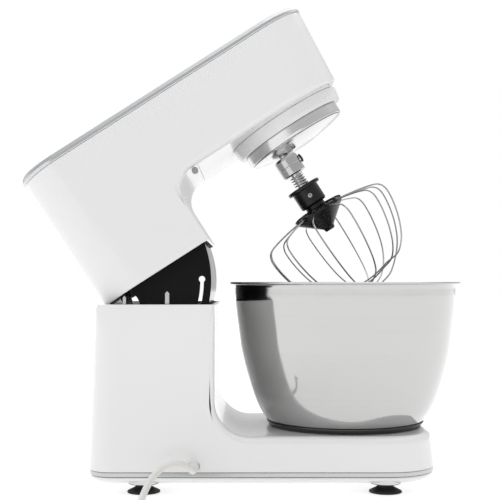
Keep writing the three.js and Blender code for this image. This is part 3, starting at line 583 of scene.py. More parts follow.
def make_finishes():
    """Every finish by name."""
    moulded_group()
    turned_lines_group()
    c = bpy.context.scene.mixer_colours
    moulded("white_shell", tuple(c.shell), 0.012, 0.13, 0.05, 900.0, (0.04, 0.0003), coat=0.3)
    moulded("black_gloss", tuple(c.gloss_black), 0.2, 0.09, 0.06, 800.0, (0.03, 0.0003), ior=1.18)
    moulded("black_satin", (0.009, 0.009, 0.010), 0.25, 0.22, 0.12, 1200.0, (0.12, 0.0004), ior=1.38)
    moulded("rubber", tuple(c.rubber), 0.3, 0.55, 0.2, 1600.0, (0.25, 0.0004), ior=1.45)
    moulded("cast_alloy", (0.42, 0.42, 0.43), 0.2, 0.42, 0.15, 500.0, (0.3, 0.0006), metallic=0.9)
    moulded("nylon", (0.72, 0.68, 0.56), 0.06, 0.45, 0.1, 900.0, (0.08, 0.0003))
    moulded("copper", (0.62, 0.28, 0.14), 0.25, 0.3, 0.15, 400.0, (0.3, 0.0005), metallic=0.9)
    moulded("board_green", (0.03, 0.16, 0.07), 0.2, 0.35, 0.1, 300.0, (0.1, 0.0003))
    moulded("cord_pvc", tuple(c.lead), 0.05, 0.32, 0.1, 1400.0, (0.12, 0.0003))
    moulded("marking_grey", (0.30, 0.30, 0.31), 0.1, 0.4, 0.1, 900.0, (0.05, 0.0002))
    lined("bowl_steel", tuple(c.bowl), 1.0, 0.05, 0.015, (0.01, 0.00004))
    lined("rim_steel", (0.52, 0.52, 0.515), 1.0, 0.12, 0.1, (0.03, 0.0001))
    lined("silver_trim", tuple(c.trim), 0.8, 0.17, 0.06, (0.02, 0.0001))
    lined("base_silver", (0.56, 0.565, 0.57), 0.8, 0.2, 0.08, (0.02, 0.0001))
    # Dark steel for the band round the bowl's foot: painted shade where the bowl meets the deck.
    lined("painted_shade_steel", (0.11, 0.11, 0.11), 1.0, 0.25, 0.15, (0.03, 0.0001))
    lined("silver_drive", (0.70, 0.70, 0.70), 0.8, 0.14, 0.08, (0.02, 0.0001), level=True)
    lined("steel", tuple(c.steel), 1.4, 0.08, 0.1, (0.03, 0.0001), level=True)
    lined("wire_steel", (0.42, 0.42, 0.42), 1.4, 0.16, 0.08, (0.02, 0.0001), level=True)


def finish_of(name):
    """A finish made earlier."""
    return bpy.data.materials[f"finish_{name}"]


# ---- base ---------------------------------------------------------------------------------------
FOOT_NAMES = ("rear_left", "rear_right", "front_left", "front_right")
BASE_LEAN = (5.5, 19.0)      # how far the rear and the front end lean in over the column's height
DECK_RISE = 0.6              # deck above the seat's rim


def base_housing():
    """Column and deck in one moulding, hollow, with the seat let into the deck."""
    shape = bpy.context.scene.mixer_shape
    low, tall, half = BASE_LOW[2], BASE_HIGH[2] - BASE_LOW[2], BASE_HIGH[1]
    rear_top, step = BASE_LOW[0] + BASE_LEAN[0], BASE_LOW[0] + shape.column_front / MM
    deck, wall = SEAT_HIGH[2] + DECK_RISE, shape.wall / MM
    rear_corner, front_corner = shape.base_rear_corner / MM, shape.base_front_corner / MM
    points, faces = stepped_block({
        "rear": lambda h: BASE_LOW[0] + BASE_LEAN[0] * h / tall,
        "front": lambda h: BASE_HIGH[0] - BASE_LEAN[1] * h / tall,
        "top": tall, "deck": deck - low, "step": step, "fillet": shape.base_fillet / MM,
        "nose": 5.0, "lip": 1.2, "half": half, "wall_edge": shape.column_edge / MM,
        "deck_edge": shape.deck_edge / MM, "rear_corner": rear_corner, "front_corner": front_corner})
    piece = add_object("base_shell", raw_mesh("base_shell", [(points + np.array([0, 0, low]), faces)]))
    inside = half - wall
    column = plan_line(rear_top + wall, step - wall, inside, rear_corner - wall, 3)
    under = plan_line(step - 20, BASE_HIGH[0] - 9, inside - 3, 3, front_corner - 8)
    seat_hole = revolve([(0, 38), (78.3, 38), (78.3, 70), (0, 70)], (BOWL_X, 0, 0), sides=128)
    sweep = revolve([(0, -78), (27.2, -78), (27.2, 78), (0, 78)], HINGE, "y", 96)
    lead_slot = slab(softened([
        (0, 3.6, 0), (5.3, 3.6, 3), (5.3, -3.6, 3), (-5.3, -3.6, 3), (-5.3, 3.6, 3), (0, 3.6, 0),
    ])[:-1] + EXIT[[0, 2]], BASE_LOW[1] - 4, BASE_LOW[1] + 6)
    carve(piece, [box_cut(column, low - 5, BASE_HIGH[2] + 5), box_cut(under, low - 4, deck - 3.5),
                  seat_hole, sweep, lead_slot])
    return stand_in(piece, "base", finish_of("white_shell"), ["base_housing"])


def base_plan(inset, rear_corner, front_corner):
    """The base's outline drawn in by inset."""
    return plan_line(BASE_LOW[0] + inset, BASE_HIGH[0] - inset, BASE_HIGH[1] - inset,
                     rear_corner - inset, front_corner - inset)


def base_underside():
    """Silver band, bottom pan with its foot bosses, and the four sucker feet."""
    shape = bpy.context.scene.mixer_shape
    rear, front = shape.base_rear_corner / MM, shape.base_front_corner / MM
    low, high = box_of("base_trim_band")
    band = softened([(3.5, low[2], 0), (0.6, low[2], 0.8), (0.6, high[2], 0.8), (3.5, high[2], 0)])
    make_piece("base_trim", [carried(band, lambda i, z: base_plan(i, rear, front), closed=True)],
               "base", finish_of("base_silver"), ["base_trim_band"])
    pan_top = box_of("bottom_pan")[1][2]
    tub = softened([
        (22, pan_top - 2, 0), (4, pan_top - 0.2, 0), (1.2, pan_top - 0.2, 1),
        (2.4, 14.6, 4), (8.0, 11.2, 6), (18, 10.1, 4), (22, 9.9, 0)])[1:]
    bosses = []
    for name in FOOT_NAMES:
        foot_low, foot_high = box_of(f"suction_foot_{name}")
        spot = ((foot_low[0] + foot_high[0]) / 2, (foot_low[1] + foot_high[1]) / 2, 0)
        bosses.append(revolve(softened([
            (0, 7.35, 0), (7.6, 7.35, 0), (13.6, 8.5, 1), (15, 9.3, 0.6), (15, 12, 0), (0, 12, 0)]), spot))
        cup = softened([
            (0, 2.9, 0), (8.6, 2.4, 3), (14.4, 0.15, 1), (16.1, 0.0, 0.4), (15.9, 1.3, 0.5),
            (10.2, 4.2, 3), (7.9, 5.6, 1.5), (7.9, 7.0, 0.3), (0, 7.0, 0)])
        make_piece(f"foot_{name}", [revolve(cup, spot)], "base", finish_of("rubber"),
                   [f"suction_foot_{name}"])
        washer = softened([(9, 7.5, 0), (14.9, 8.7, 0.2), (14.9, 9.2, 0.2), (9, 8.2, 0), (9, 7.5, 0)])
        make_piece(f"foot_washer_{name}", [revolve(washer, spot)], "base",
                   finish_of("black_satin"))
    make_piece("base_pan", [lidded(tub, lambda i, z: base_plan(i, rear, front)), *bosses],
               "base", finish_of("white_shell"), ["bottom_pan"])


def bowl_seat():
    """Cup in the deck with the inner spigot that the bowl twists on to."""
    low, high = SEAT_LOW[2], SEAT_HIGH[2]
    outer = (SEAT_HIGH[0] - SEAT_LOW[0]) / 2
    cup = softened([
        (0, low, 0), (outer, low, 0.5), (outer, high, 0.4), (outer - 1.2, high, 0.4), (76.8, 43.2, 0.6),
        (71.5, 43.2, 0.5), (71.5, 48.2, 0.4), (69.9, 48.2, 0.4), (69.9, 43.2, 0.5), (0, 43.2, 0)])
    tabs = []
    for turn in (48, 168, 288):
        rim = np.concatenate([arc((0, 0), 73.4, turn, turn + 24, 8), arc((0, 0), 70.5, turn + 24, turn, 8)])
        points, faces = slab(rim, 46.5, 48.2)
        tabs.append((points[:, [0, 2, 1]] + np.array([BOWL_X, 0, 0]), faces))
    make_piece("seat", [revolve(cup, (BOWL_X, 0, 0), sides=128), *tabs], "base",
               finish_of("white_shell"), ["bowl_seat"])


# ---- bowl ---------------------------------------------------------------------------------------
def mixing_bowl():
    """Spun steel bowl with a flat rim, the pressed ring it stands on, and a dark band of painted shade round
    its foot.
    """
    steel = 1.2
    side = through([
        (68, 46.6), (74.2, 51.0), (78, 58), (90, 76), (99, 99), (107, 130), (111, 158), (113.8, 181),
        (114.4, 199)], 70)[2:]
    rim = softened([
        (114.4, 199, 0), (114.9, 201.6, 1.2), (119.2, 201.6, 0.9), (120, 202.8, 0.9), (119.2, 204, 0.9),
        (113.6, 204, 1.2), (113.2, 200, 0)])
    inner = side[::-1] - np.column_stack([np.full(len(side), steel), np.zeros(len(side))])
    inner = inner[(inner[:, 1] > 49.0) & (inner[:, 1] < 199)]
    profile = np.concatenate([
        [(0, 46.6), (60, 46.6)], side, rim[1:], inner, [(66, 47.9), (40, 47.8), (0, 47.8)]])
    make_piece("bowl", [revolve(profile, (BOWL_X, 0, 0), sides=192)], "bowl",
               finish_of("bowl_steel"), ["bowl_shell"])
    low, high = box_of("bowl_foot_ring")
    radius = (high[0] - low[0]) / 2
    band = softened([
        (radius - 1.2, low[2], 0.3), (radius, low[2], 0.5), (radius, high[2], 0.5),
        (radius - 1.2, high[2], 0.3), (radius - 1.2, low[2], 0)])
    lugs = []
    for turn in (14, 134, 254):
        rim = np.concatenate([arc((0, 0), 74.9, turn, turn + 20, 8), arc((0, 0), 72.6, turn + 20, turn, 8)])
        points, faces = slab(rim, 44, 46)
        lugs.append((points[:, [0, 2, 1]] + np.array([BOWL_X, 0, 0]), faces))
    make_piece("bowl_ring", [revolve(band, (BOWL_X, 0, 0), sides=160), *lugs], "bowl",
               finish_of("rim_steel"), ["bowl_foot_ring"])
    # Dark band just outside the bowl's foot: painted shade standing in for the shadowed gap between bowl and
    # deck.
    shade_band = softened([
        (77.2, 56.6, 0), (78.2, 56.4, 0.4), (81.6, 60.6, 0.5), (81.2, 61.4, 0.3), (79, 60.4, 0),
        (77.2, 56.6, 0)])
    make_piece("bowl_foot_painted_shade", [revolve(shade_band, (BOWL_X, 0, 0), sides=160)], "bowl",
               finish_of("painted_shade_steel"))


# ---- controls -----------------------------------------------------------------------------------
def speed_knob():
    """Dial with a skirt, a finger rib and a grey pointer, and its tick marks on the column."""
    centre = (KNOB_X, 0, KNOB_Z)
    dial = softened([
        (0, 88, 0), (5.5, 88, 0), (5.5, 93, 0), (27, 93, 0.6), (27, 97, 1.5), (23.8, 99.2, 1),
        (22.4, 112.4, 2.5), (19, 114.6, 4), (0, 114.6, 0)])
    rib = slab(softened([
        (0, 6, 0), (2.2, 6, 1.2), (2.2, 20.5, 1.6), (-2.2, 20.5, 1.6), (-2.2, 6, 1.2), (0, 6, 0)])[1:-1]
        + np.array([KNOB_X, KNOB_Z]), 112.5, KNOB_HIGH[1])
    make_piece("knob_dial", [revolve(dial, centre, "y", 96), rib], "knob",
               finish_of("white_shell"), ["speed_knob"])
    pointer = slab([(KNOB_X - 0.8, KNOB_Z + 12), (KNOB_X + 0.8, KNOB_Z + 12),
                    (KNOB_X + 0.8, KNOB_Z + 19.6), (KNOB_X - 0.8, KNOB_Z + 19.6)], 114.7, 116.6)
    make_piece("knob_pointer", [pointer], "knob", finish_of("marking_grey"))
    ticks = []
    for step in range(8):
        along = math.radians(-35 + step * 275 / 7)
        direction = np.array([math.sin(along), math.cos(along)])
        across = np.array([direction[1], -direction[0]]) * 0.6
        start, end = direction * 31.0, direction * 35.5
        outline = np.array([start - across, start + across, end + across, end - across])
        ticks.append(slab(outline + np.array([KNOB_X, KNOB_Z]), BASE_HIGH[1] - 0.1, BASE_HIGH[1] + 0.25))
    make_piece("knob_scale", ticks, "base", finish_of("marking_grey"))


def release_lever():
    """Thumb lever with softened edges on its shaft."""
    grip = [(-7, -9, 5), (3, -12, 6), (10, -8, 5), (13, 0, 6), (12, 8, 6), (4, 13, 6), (-4, 34, 9),
            (-12, 38, 6), (-19, 34, 5), (-17, 26, 8), (-13, 4, 10)]
    outline = softened([(-10, -2.5, 0), *grip, (-10, -2.5, 0)])[:-1] + np.array([LEVER_X, LEVER_Z])
    piece = add_object("lever_grip", raw_mesh("lever_grip", [slab(outline, 92.8, 101)]))
    soften_edges(piece, 1.6, 4)
    settle(piece)
    stand_in(piece, "lever", finish_of("white_shell"), ["release_lever"])
    shaft = softened([(0, 85.5, 0), (4.8, 85.5, 0.5), (4.8, 92.9, 0), (0, 92.9, 0)])
    make_piece("lever_shaft", [revolve(shaft, (LEVER_X, 0, LEVER_Z), "y", 48)], "lever",
               finish_of("white_shell"))


# ---- head ---------------------------------------------------------------------------------------
HEAD_LOW_REAR = -154.6       # rear end where the leg meets the column
HEAD_REAR_LEAN = -4.0 / 151.7
HEAD_FRONT_LEAN = 7.2 / 84.0
UNDER = 250.5                # underside of the level head
LEG_FRONT = -31.0


def head_rear(z):
    """Rear end of the level head at a height."""
    return HEAD_LOW_REAR + (z - HEAD_LOW[2]) * HEAD_REAR_LEAN


def head_front(z):
    """Front end of the level head at a height."""
    return HEAD_HIGH[0] + (z - HEAD_HIGH[2]) * HEAD_FRONT_LEAN


def head_plan(inset, z):
    """The head's outline at a height, drawn in by inset."""
    corner = bpy.context.scene.mixer_shape.head_corner / MM - inset
    return plan_line(head_rear(z) + inset, head_front(z) - inset, HEAD_HIGH[1] - inset, corner, corner)


def head_housing():
    """Upper moulding: the base's form upside down, its tall part the leg that closes on the column."""
    shape = bpy.context.scene.mixer_shape
    high, half, wall = HEAD_HIGH[2], HEAD_HIGH[1], shape.wall / MM
    corner = shape.head_corner / MM
    points, faces = stepped_block({
        "rear": lambda h: head_rear(high - h), "front": lambda h: head_front(high - h),
        "top": high - HEAD_LOW[2], "deck": high - UNDER,
        "step": LEG_FRONT, "fillet": shape.head_fillet / MM,
        "nose": 3.0, "lip": 0.8, "half": half, "wall_edge": 1.6, "deck_edge": shape.head_edge / MM,
        "rear_corner": corner, "front_corner": corner})
    points = points * np.array([1, 1, -1]) + np.array([0, 0, high])
    piece = add_object("head_shell", raw_mesh("head_shell", [(points, faces)], level=True))
    inside = half - wall
    leg = plan_line(head_rear(high) + wall + 2, LEG_FRONT - wall, inside, corner - wall, 3)
    tub = plan_line(LEG_FRONT - 20, head_front(UNDER) - wall - 1, inside - 3, 3, corner - wall)
    hatch = plan_line(-1.0, 154.8, half - 7, 6, 37)
    carve(piece, [box_cut(leg, HEAD_LOW[2] - 5, high + 6), box_cut(tub, UNDER + wall, high + 5),
                  box_cut(hatch, UNDER - 4, UNDER + 9)], level=True)
    stop = softened([(0, -79, 0), (3.2, -79, 0), (3.2, -85.2, 0.5), (0, -85.2, 0)])
    make_piece("head_stop", [revolve(stop, (-6.5, 0, 246.5), "y", 40)], "head",
               finish_of("marking_grey"), level=True)
    return stand_in(piece, "head", finish_of("white_shell"), ["head_housing"])


def head_top():
    """Two-facet silver band and the crowned lid inside it."""
    low, high = TRIM_LOW[2], TRIM_HIGH[2]
    band = softened([
        (3.4, low, 0), (0.4, low, 0.3), (-0.4, low + 0.9, 0.4), (-0.4, low + 3.4, 0.5),
        (0.7, high - 0.9, 0.6), (1.6, high, 0.5), (3.4, high, 0)], 4)
    make_piece("head_trim", [carried(band, head_plan, closed=True)], "head",
               finish_of("silver_trim"), ["head_trim_band"], level=True)
    crown = softened([
        (4.6, low + 2, 0), (4.6, high + 0.3, 0.8), (9, high + 2.4, 8), (22, high + 4.5, 20),
        (40, high + 5.0, 0)], 8)
    make_piece("head_lid", [lidded(crown, head_plan)], "head", finish_of("white_shell"),
               ["head_top_cover"], level=True)


GUARD_RADIUS, GUARD_HALF, GUARD_WALL = 106.0, 77.0, 2.5
SLOT_RADIUS, SLOT_HALF, SLOT_EYE, SLOT_END = 97.0, 1.7, 3.1, -33.6
FAR_SLOT_DEPTH = 14.0        # the far cheek's slot is this much wider towards the hinge


def turned_back(flat):
    """Flat (x, z) points drawn with the head raised, carried back to the level head."""
    return turned_about_hinge(np.column_stack([flat[:, 0], 0 * flat[:, 0], flat[:, 1]]), -TILT)[:, [0, 2]]


def tilt_guard():
    """Black guard: a sector about the hinge with open top, bottom and rear, a window and a slot."""
    centre = HINGE[[0, 2]]
    start = math.degrees(math.asin((186 - HINGE[2]) / GUARD_RADIUS))
    end = math.degrees(-math.asin(63 / GUARD_RADIUS) - TILT)
    foot = turned_back(np.array([(-75, 142), (-85, 172)]))
    outer = np.concatenate([
        [(-134.6, 186)], arc(centre, GUARD_RADIUS, start, end, 60), foot, [(-134.6, 161.7)]])
    inner_arc = arc(centre, GUARD_RADIUS - GUARD_WALL, start + 12, end - 12, 60)
    inner = np.concatenate([[(-150, 215)], inner_arc, [(-150, 80)]])
    half = GUARD_HALF - GUARD_WALL
    piece = add_object("guard", raw_mesh("guard", [slab(outer, -GUARD_HALF, GUARD_HALF)], level=True))
    window = np.concatenate([arc((-124, 177), 21, -71.7, 71.7, 30), [(-117.4, 190)]])
    slot = np.concatenate([
        arc(centre, SLOT_RADIUS + SLOT_HALF, SLOT_END, 1, 40),
        arc(centre, SLOT_RADIUS - SLOT_HALF, 1, SLOT_END, 40)])
    eye = centre + SLOT_RADIUS * np.array([math.cos(math.radians(1)), math.sin(math.radians(1))])
    eye_hole = revolve(
        [(0, -90), (SLOT_EYE, -90), (SLOT_EYE, 90), (0, 90)], (eye[0], 0, eye[1]), "y", 48)
    carve(piece, [slab(inner, -half, half)], level=True)
    broad = np.concatenate([
        arc(centre, SLOT_RADIUS + SLOT_EYE, SLOT_END, 4, 40),
        arc(centre, SLOT_RADIUS - FAR_SLOT_DEPTH, 4, SLOT_END, 40)])
    carve(piece, [slab(turned_back(slot), -90, 90), slab(turned_back(broad), 60, 90),
                  (turned_about_hinge(eye_hole[0], -TILT), eye_hole[1]),
                  slab(turned_back(window), -90, 90)], level=True)
    soften_edges(piece, 0.5, 2)
    settle(piece)
    return stand_in(piece, "head", finish_of("black_gloss"), ["tilt_shroud"])


# ---- drive --------------------------------------------------------------------------------------
def drive_parts():
    """White skirt, bright ring, dished cone, collar with its latch, spindle and spring."""
    main, tool = (BOWL_X, 0, 0), (TOOL_X, 0, 0)
    skirt = softened([
        (57, 250.2, 0), (57, 239, 0), (53.5, 239, 0), (53.5, 236.9, 0), (60.2, 236.9, 1.2),
        (61.6, 240.2, 3), (63, 250.2, 0), (57, 250.2, 0)])
    make_piece("skirt", [revolve(skirt, main, sides=160)], "head",
               finish_of("white_shell"), ["drive_skirt"], level=True)
    ring = softened([
        (52, 236.5, 0), (52, 225.9, 0), (53.2, 225.4, 0.5), (54.7, 226.0, 0.6), (55, 228, 0.4),
        (55, 236.5, 0), (52, 236.5, 0)])
    make_piece("bright_ring", [revolve(ring, main, sides=160)], "head",
               finish_of("silver_drive"), ["splash_ring"], level=True)
    cone = softened([
        (0, 226.9, 0), (51.2, 226.9, 0), (51.2, 225.3, 0), (53.2, 225.1, 0.2), (53.4, 224.5, 0.3),
        (46, 222.4, 30), (20, 218.0, 14), (0, 217.5, 0)], 8)
    make_piece("drive_cone", [revolve(cone, main, sides=160)], "carrier",
               finish_of("silver_drive"), ["carrier_cone"], level=True)
    collar = softened([
        (5.3, 217, 0), (5.3, 196, 0), (11.6, 196, 0.3), (13, 197.2, 0.8), (13, 205.6, 0.3),
        (12.6, 206, 0.3), (13, 206.4, 0.3), (13, 214, 1.2), (11.4, 217, 0.8), (5.3, 217, 0)])
    piece = add_object("collar", raw_mesh("collar", [revolve(collar, tool, sides=96)], level=True))
    carve(piece, [revolve([(0, 8.6), (4.4, 8.6), (4.4, 18), (0, 18)], (TOOL_X, 0, 207.5), "x", 40)],
          level=True)
    stand_in(piece, "tool", finish_of("steel"), ["tool_collar"])
    button = softened([
        (0, 9.0, 0), (4.0, 9.0, 0), (4.0, 13.6, 0.6), (3.4, 15.4, 1), (2.4, 16.3, 0.6), (1.5, 16.3, 0.2),
        (1.5, 14.6, 0.2), (0, 14.6, 0)])
    make_piece("latch_button", [revolve(button, (TOOL_X, 0, 207.5), "x", 48)], "tool",
               finish_of("steel"), ["collar_latch"], level=True)
    bend = np.radians(np.linspace(-150, 150, 26))
    clip = tube(np.column_stack([
        TOOL_X + 14.6 + 0 * bend, 4.2 * np.sin(bend), 207.5 + 4.2 * np.cos(bend)]), 0.9, 10)
    make_piece("latch_clip", [clip], "tool", finish_of("black_gloss"), level=True)
    shaft = softened([
        (0, SHAFT_LOW[2], 0), (4.2, SHAFT_LOW[2], 0.4), (5, SHAFT_LOW[2] + 0.9, 0.4),
        (5, SHAFT_HIGH[2] - 0.6, 0.4), (0, SHAFT_HIGH[2], 0)])
    piece = add_object("spindle", raw_mesh("spindle", [revolve(shaft, tool, sides=64)], level=True))
    pin_z = 168.5
    carve(piece, [revolve([(0, -9), (1.8, -9), (1.8, 9), (0, 9)], (TOOL_X, 0, pin_z), "y", 32)], level=True)
    stand_in(piece, "tool", finish_of("steel"), ["tool_shaft"])
    pin = softened([(0, -7.5, 0), (1.5, -7.5, 0.4), (1.5, 7.5, 0.4), (0, 7.5, 0)])
    make_piece("drive_pin", [revolve(pin, (TOOL_X, 0, pin_z), "y", 32)], "tool",
               finish_of("steel"), ["spindle_pin"], level=True)
    turns = 4.2
    t = np.linspace(0, 1, 260)
    spring = np.column_stack([
        TOOL_X + 7.2 * np.cos(t * turns * 2 * np.pi), 7.2 * np.sin(t * turns * 2 * np.pi),
        194.7 - (194.7 - 182.5) * t])
    make_piece("spring", [tube(spring, 0.8, 10)], "tool", finish_of("steel"), ["tool_spring"],
               level=True)


# ---- whisk --------------------------------------------------------------------------------------
WIRE_LOOPS, WIRE_RADIUS = 6, 0.8


def whisk_hub():
    """Black hub with a flange, a cross hole with bushes and a keyway, and the cone that holds the wires."""
    tool = (TOOL_X, 0, 0)
    body = softened([
        (5.4, 181, 0), (5.4, 160, 0.3), (0, 160, 0), (0, 153.8, 0), (10.8, 153.8, 0.3), (10.8, 158.3, 0.5),
        (13.4, 158.5, 0.4), (14.6, 160.2, 0.6), (14.6, 177.1, 0.8), (18.0, 177.4, 0.4), (18.3, 179, 0.4),
        (18.3, 180.4, 0.5), (17.6, 181, 0.3), (5.4, 181, 0)])
    piece = add_object("hub", raw_mesh("hub", [revolve(body, tool, sides=96)], level=True))
    keyway = slab([(TOOL_X - 1.9, 166.6), (TOOL_X + 1.9, 166.6), (TOOL_X + 1.9, 183), (TOOL_X - 1.9, 183)],
                  -8.1, 8.1)
    hole = revolve([(0, -20), (2.3, -20), (2.3, 20), (0, 20)], (TOOL_X, 0, 168.5), "y", 40)
    carve(piece, [keyway, hole], level=True)
    stand_in(piece, "whisk", finish_of("black_satin"), ["whisk_hub"])
    bushes = []
    for side in (-1, 1):
        ends = sorted((side * 9.4, side * 14.75))
        bush = softened([(1.3, ends[0], 0), (2.25, ends[0], 0.1), (2.25, ends[1], 0.2), (1.3, ends[1], 0.2),
                         (1.3, ends[0], 0)])
        bushes.append(revolve(bush, (TOOL_X, 0, 168.5), "y", 32))
    make_piece("hub_bushes", bushes, "whisk", finish_of("steel"), level=True)
    cone = softened([
        (0, 153.4, 0), (11, 153.4, 0.5), (25.6, 152.1, 0.6), (27.3, 151.2, 0.6), (27.5, 148.2, 0.5),
        (25.6, 146.4, 0.8), (6.2, 130.6, 1.5), (5.4, 127.6, 0.6), (4.4, 127, 0.4), (0, 127, 0)])
    ribs = []
    for k in range(2 * WIRE_LOOPS):
        turn = (k + 0.5) / WIRE_LOOPS * math.pi
        path = [(r * math.cos(turn) + TOOL_X, r * math.sin(turn), z)
                for r, z in ((12.5, 153.7), (19, 153.1), (25.4, 152.2), (27.6, 150.6))]
        ribs.append(tube(through(path, 12), [1.0, *[1.7] * 10, 1.3], 10))
    make_piece("whisk_cap", [revolve(cone, tool, sides=96), *ribs], "whisk",
               finish_of("black_satin"), ["whisk_cone"], level=True)


def whisk_wires():
    """Six steel loops, each a little higher than the last where they cross under the axis."""
    for index in range(WIRE_LOOPS):
        low = 49 + index * 2.35 + WIRE_RADIUS
        arm = [(27.4, 150.0), (28.9, 149.6), (44, 147.2), (59, 143.8), (67.5, 140.4), (71.6, 134),
               (71.9, 124), (69.6, 110), (65, 95), (57.5, 80), (46.5, 67 + index * 0.5), (31, low + 5.2),
               (15, low + 1.2)]
        loop = [*arm, (0, low), *[(-r, z) for r, z in reversed(arm)]]
        turn = (index + 0.5) / WIRE_LOOPS * math.pi
        path = [(TOOL_X + r * math.cos(turn), r * math.sin(turn), z) for r, z in loop]
        make_piece(f"wire_{index + 1}", [tube(through(path, 190), WIRE_RADIUS, 10)], "whisk",
                   finish_of("wire_steel"), [f"whisk_wire_{index + 1}"], level=True)


# ---- lead ---------------------------------------------------------------------------------------
CORD_ROUTE = [   # metres, from the strain relief to where the coil begins
    (-0.050, -0.1106, 0.0282), (-0.050, -0.1145, 0.0285), (-0.0512, -0.1205, 0.0306),
    (-0.0546, -0.1265, 0.0344), (-0.061, -0.131, 0.0377), (-0.0695, -0.134, 0.0376),
    (-0.0785, -0.1375, 0.0336), (-0.0856, -0.143, 0.0262), (-0.0904, -0.151, 0.0176),
    (-0.093, -0.161, 0.0102), (-0.094, -0.1705, 0.0061), (-0.0942, -0.179, 0.0044)]


def coil_route(radius, pitch):
    """Two turns inwards on the table, a climb on the spot, two turns outwards on top, then the plug."""
    middle = (COIL_LOW + COIL_HIGH) / 2
    outer = (COIL_HIGH[0] - COIL_LOW[0]) / 2 - radius - 0.6
    bottom, second = radius + 0.3, 3 * radius + 0.5
    start, inward, climb = math.radians(152), 2.05, 0.36
    t1 = np.linspace(0, inward, 60)
    t2 = np.linspace(inward, inward + climb, 12)[1:]
    leave = math.radians(270)
    outward = 2 + (leave - start) / (2 * np.pi) - (inward + climb) % 1
    t3 = np.linspace(inward + climb, inward + climb + outward, 60)[1:]
    turns = np.concatenate([t1, t2, t3])
    tight = outer - pitch * inward
    reach = np.concatenate([
        outer - pitch * t1, np.full(t2.size, tight), tight + pitch * (t3 - t3[0] + 0.02)])
    ease = (t2 - inward) / climb
    height = np.concatenate([
        np.full(t1.size, bottom), bottom + (second - bottom) * ease * ease * (3 - 2 * ease),
        np.full(t3.size, second)])
    angle = start + turns * 2 * np.pi
    return np.column_stack([middle[0] + reach * np.cos(angle), middle[1] + reach * np.sin(angle), height])


def evenly(path, spacing):
    """The same line with points an even distance apart."""
    run = np.concatenate([[0], np.cumsum(np.linalg.norm(np.diff(path, axis=0), axis=1))])
    places = np.linspace(0, run[-1], int(run[-1] / spacing) + 1)
    return np.column_stack([np.interp(places, run, path[:, k]) for k in range(3)])


def strain_relief():
    """Tapered sleeve with shallow rings, from inside the wall to the lead."""
    rear, front = GLAND_HIGH[1], GLAND_LOW[1]
    taper = [(0, rear, 0), (4.9, rear, 0.4), (4.9, -96, 0.4)]
    for k in range(4):
        y = -97.5 - k * 3.0
        r = 4.85 - 0.2 * k
        taper += [(r, y, 0.3), (r - 0.55, y - 0.5, 0.3), (r - 0.55, y - 1.2, 0.3), (r - 0.1, y - 1.7, 0.3)]
    taper += [(4.0, front + 0.6, 0.5), (3.4, front, 0.3), (0, front, 0)]
    return make_piece("strain_relief", [revolve(softened(taper, 3), (EXIT[0], 0, EXIT[2]), "y", 48)],
                      "base", finish_of("cord_pvc"), ["cord_gland"])


def mains_plug():
    """Moulded plug: rounded sections along X, half width a and half height b, with two round pins."""
    middle_y, body_end = (PLUG_LOW[1] + PLUG_HIGH[1]) / 2, PLUG_LOW[0] + 30
    lead_z = 7.7
    x = np.array([0, 0.6, 3, 8, 13, 20, 26, 29.2, 30]) + PLUG_LOW[0]
    a = np.array([4.2, 4.9, 5.2, 6.4, 8.4, 8.9, 8.9, 8.5, 7.6])
    b = np.array([4.2, 4.9, 5.2, 5.9, 6.9, 7.2, 7.2, 6.9, 6.0])
    angle = np.arange(48) / 48 * 2 * np.pi
    cosine, sine = np.cos(angle), np.sin(angle)
    round_y = np.sign(cosine) * np.abs(cosine) ** 0.6
    round_z = np.sign(sine) * np.abs(sine) ** 0.6
    grid = np.stack([
        x[:, None] + 0 * angle, middle_y + a[:, None] * round_y, lead_z + b[:, None] * round_z], -1)
    ends = [np.repeat(np.array([[[x[k], middle_y, lead_z]]]), 48, 1) for k in (0, -1)]
    body = grid_skin(np.concatenate([ends[0], grid, ends[1]]), wrap=True)
    plug = make_piece("plug", [body], "base", finish_of("cord_pvc"), ["cord_plug"])
    pins = [revolve(softened([
        (0, body_end - 1, 0), (2.2, body_end - 1, 0), (2.2, PLUG_HIGH[0] - 0.1, 1.2),
        (0, PLUG_HIGH[0] - 0.1, 0)]), (0, middle_y + side, lead_z), "x", 32) for side in (-5, 5)]
    pair = make_piece("plug_pins", pins, "base", finish_of("rim_steel"))
    return plug, pair


def mains_lead():
    """The lead in one run: relief, low hump, table, coil and plug."""
    lead = bpy.context.scene.mixer_lead
    radius, pitch = lead.diameter / MM / 2, lead.pitch / MM
    relief = strain_relief()
    plug, pins = mains_plug()
    free = np.array(CORD_ROUTE) / MM
    wound = coil_route(radius, pitch)
    plug_y, entry = (PLUG_LOW[1] + PLUG_HIGH[1]) / 2, PLUG_LOW[0]
    tail = np.array([(-44, plug_y, wound[-1, 2] - 0.2), (-32, plug_y, 8.4), (entry + 0.5, plug_y, 7.7)])
    path = through(np.concatenate([free, wound[::3], tail]), 900)
    path = evenly(path, 2.0)
    make = raw_mesh("lead", [tube(path, radius, 14)])
    cord = stand_in(add_object("lead", make), "base", finish_of("cord_pvc"),
                    [n for n in ("power_cord", "cord_coil", "cord_tail") if n in frame["nodes"]])


# ---- hidden parts -------------------------------------------------------------------------------
HIDDEN_FINISH = {
    "steel": ("hinge_bracket", "guide_pin", "latch_hook", "hinge_pin", "lift_spring", "motor_shaft",
              "main_shaft"),
    "cast_alloy": ("head_chassis", "gearbox_cover", "motor_stator", "planet_carrier"),
    "nylon": ("ring_gear", "planet_gear"),
    "copper": ("motor_armature",),
    "board_green": ("control_board",),
    "black_satin": ("speed_switch", "cooling_fan", "motor_pulley", "main_pulley"),
    "rubber": ("drive_belt",),
    "white_shell": ("head_under_cover",),
}


def dress_hidden_parts():
    """Gives the nodes that stay as they are their finishes."""
    for finish, nodes in HIDDEN_FINISH.items():
        for node in nodes:
            piece = frame["nodes"][node]
            piece.data.materials.clear()
            piece.data.materials.append(finish_of(finish))


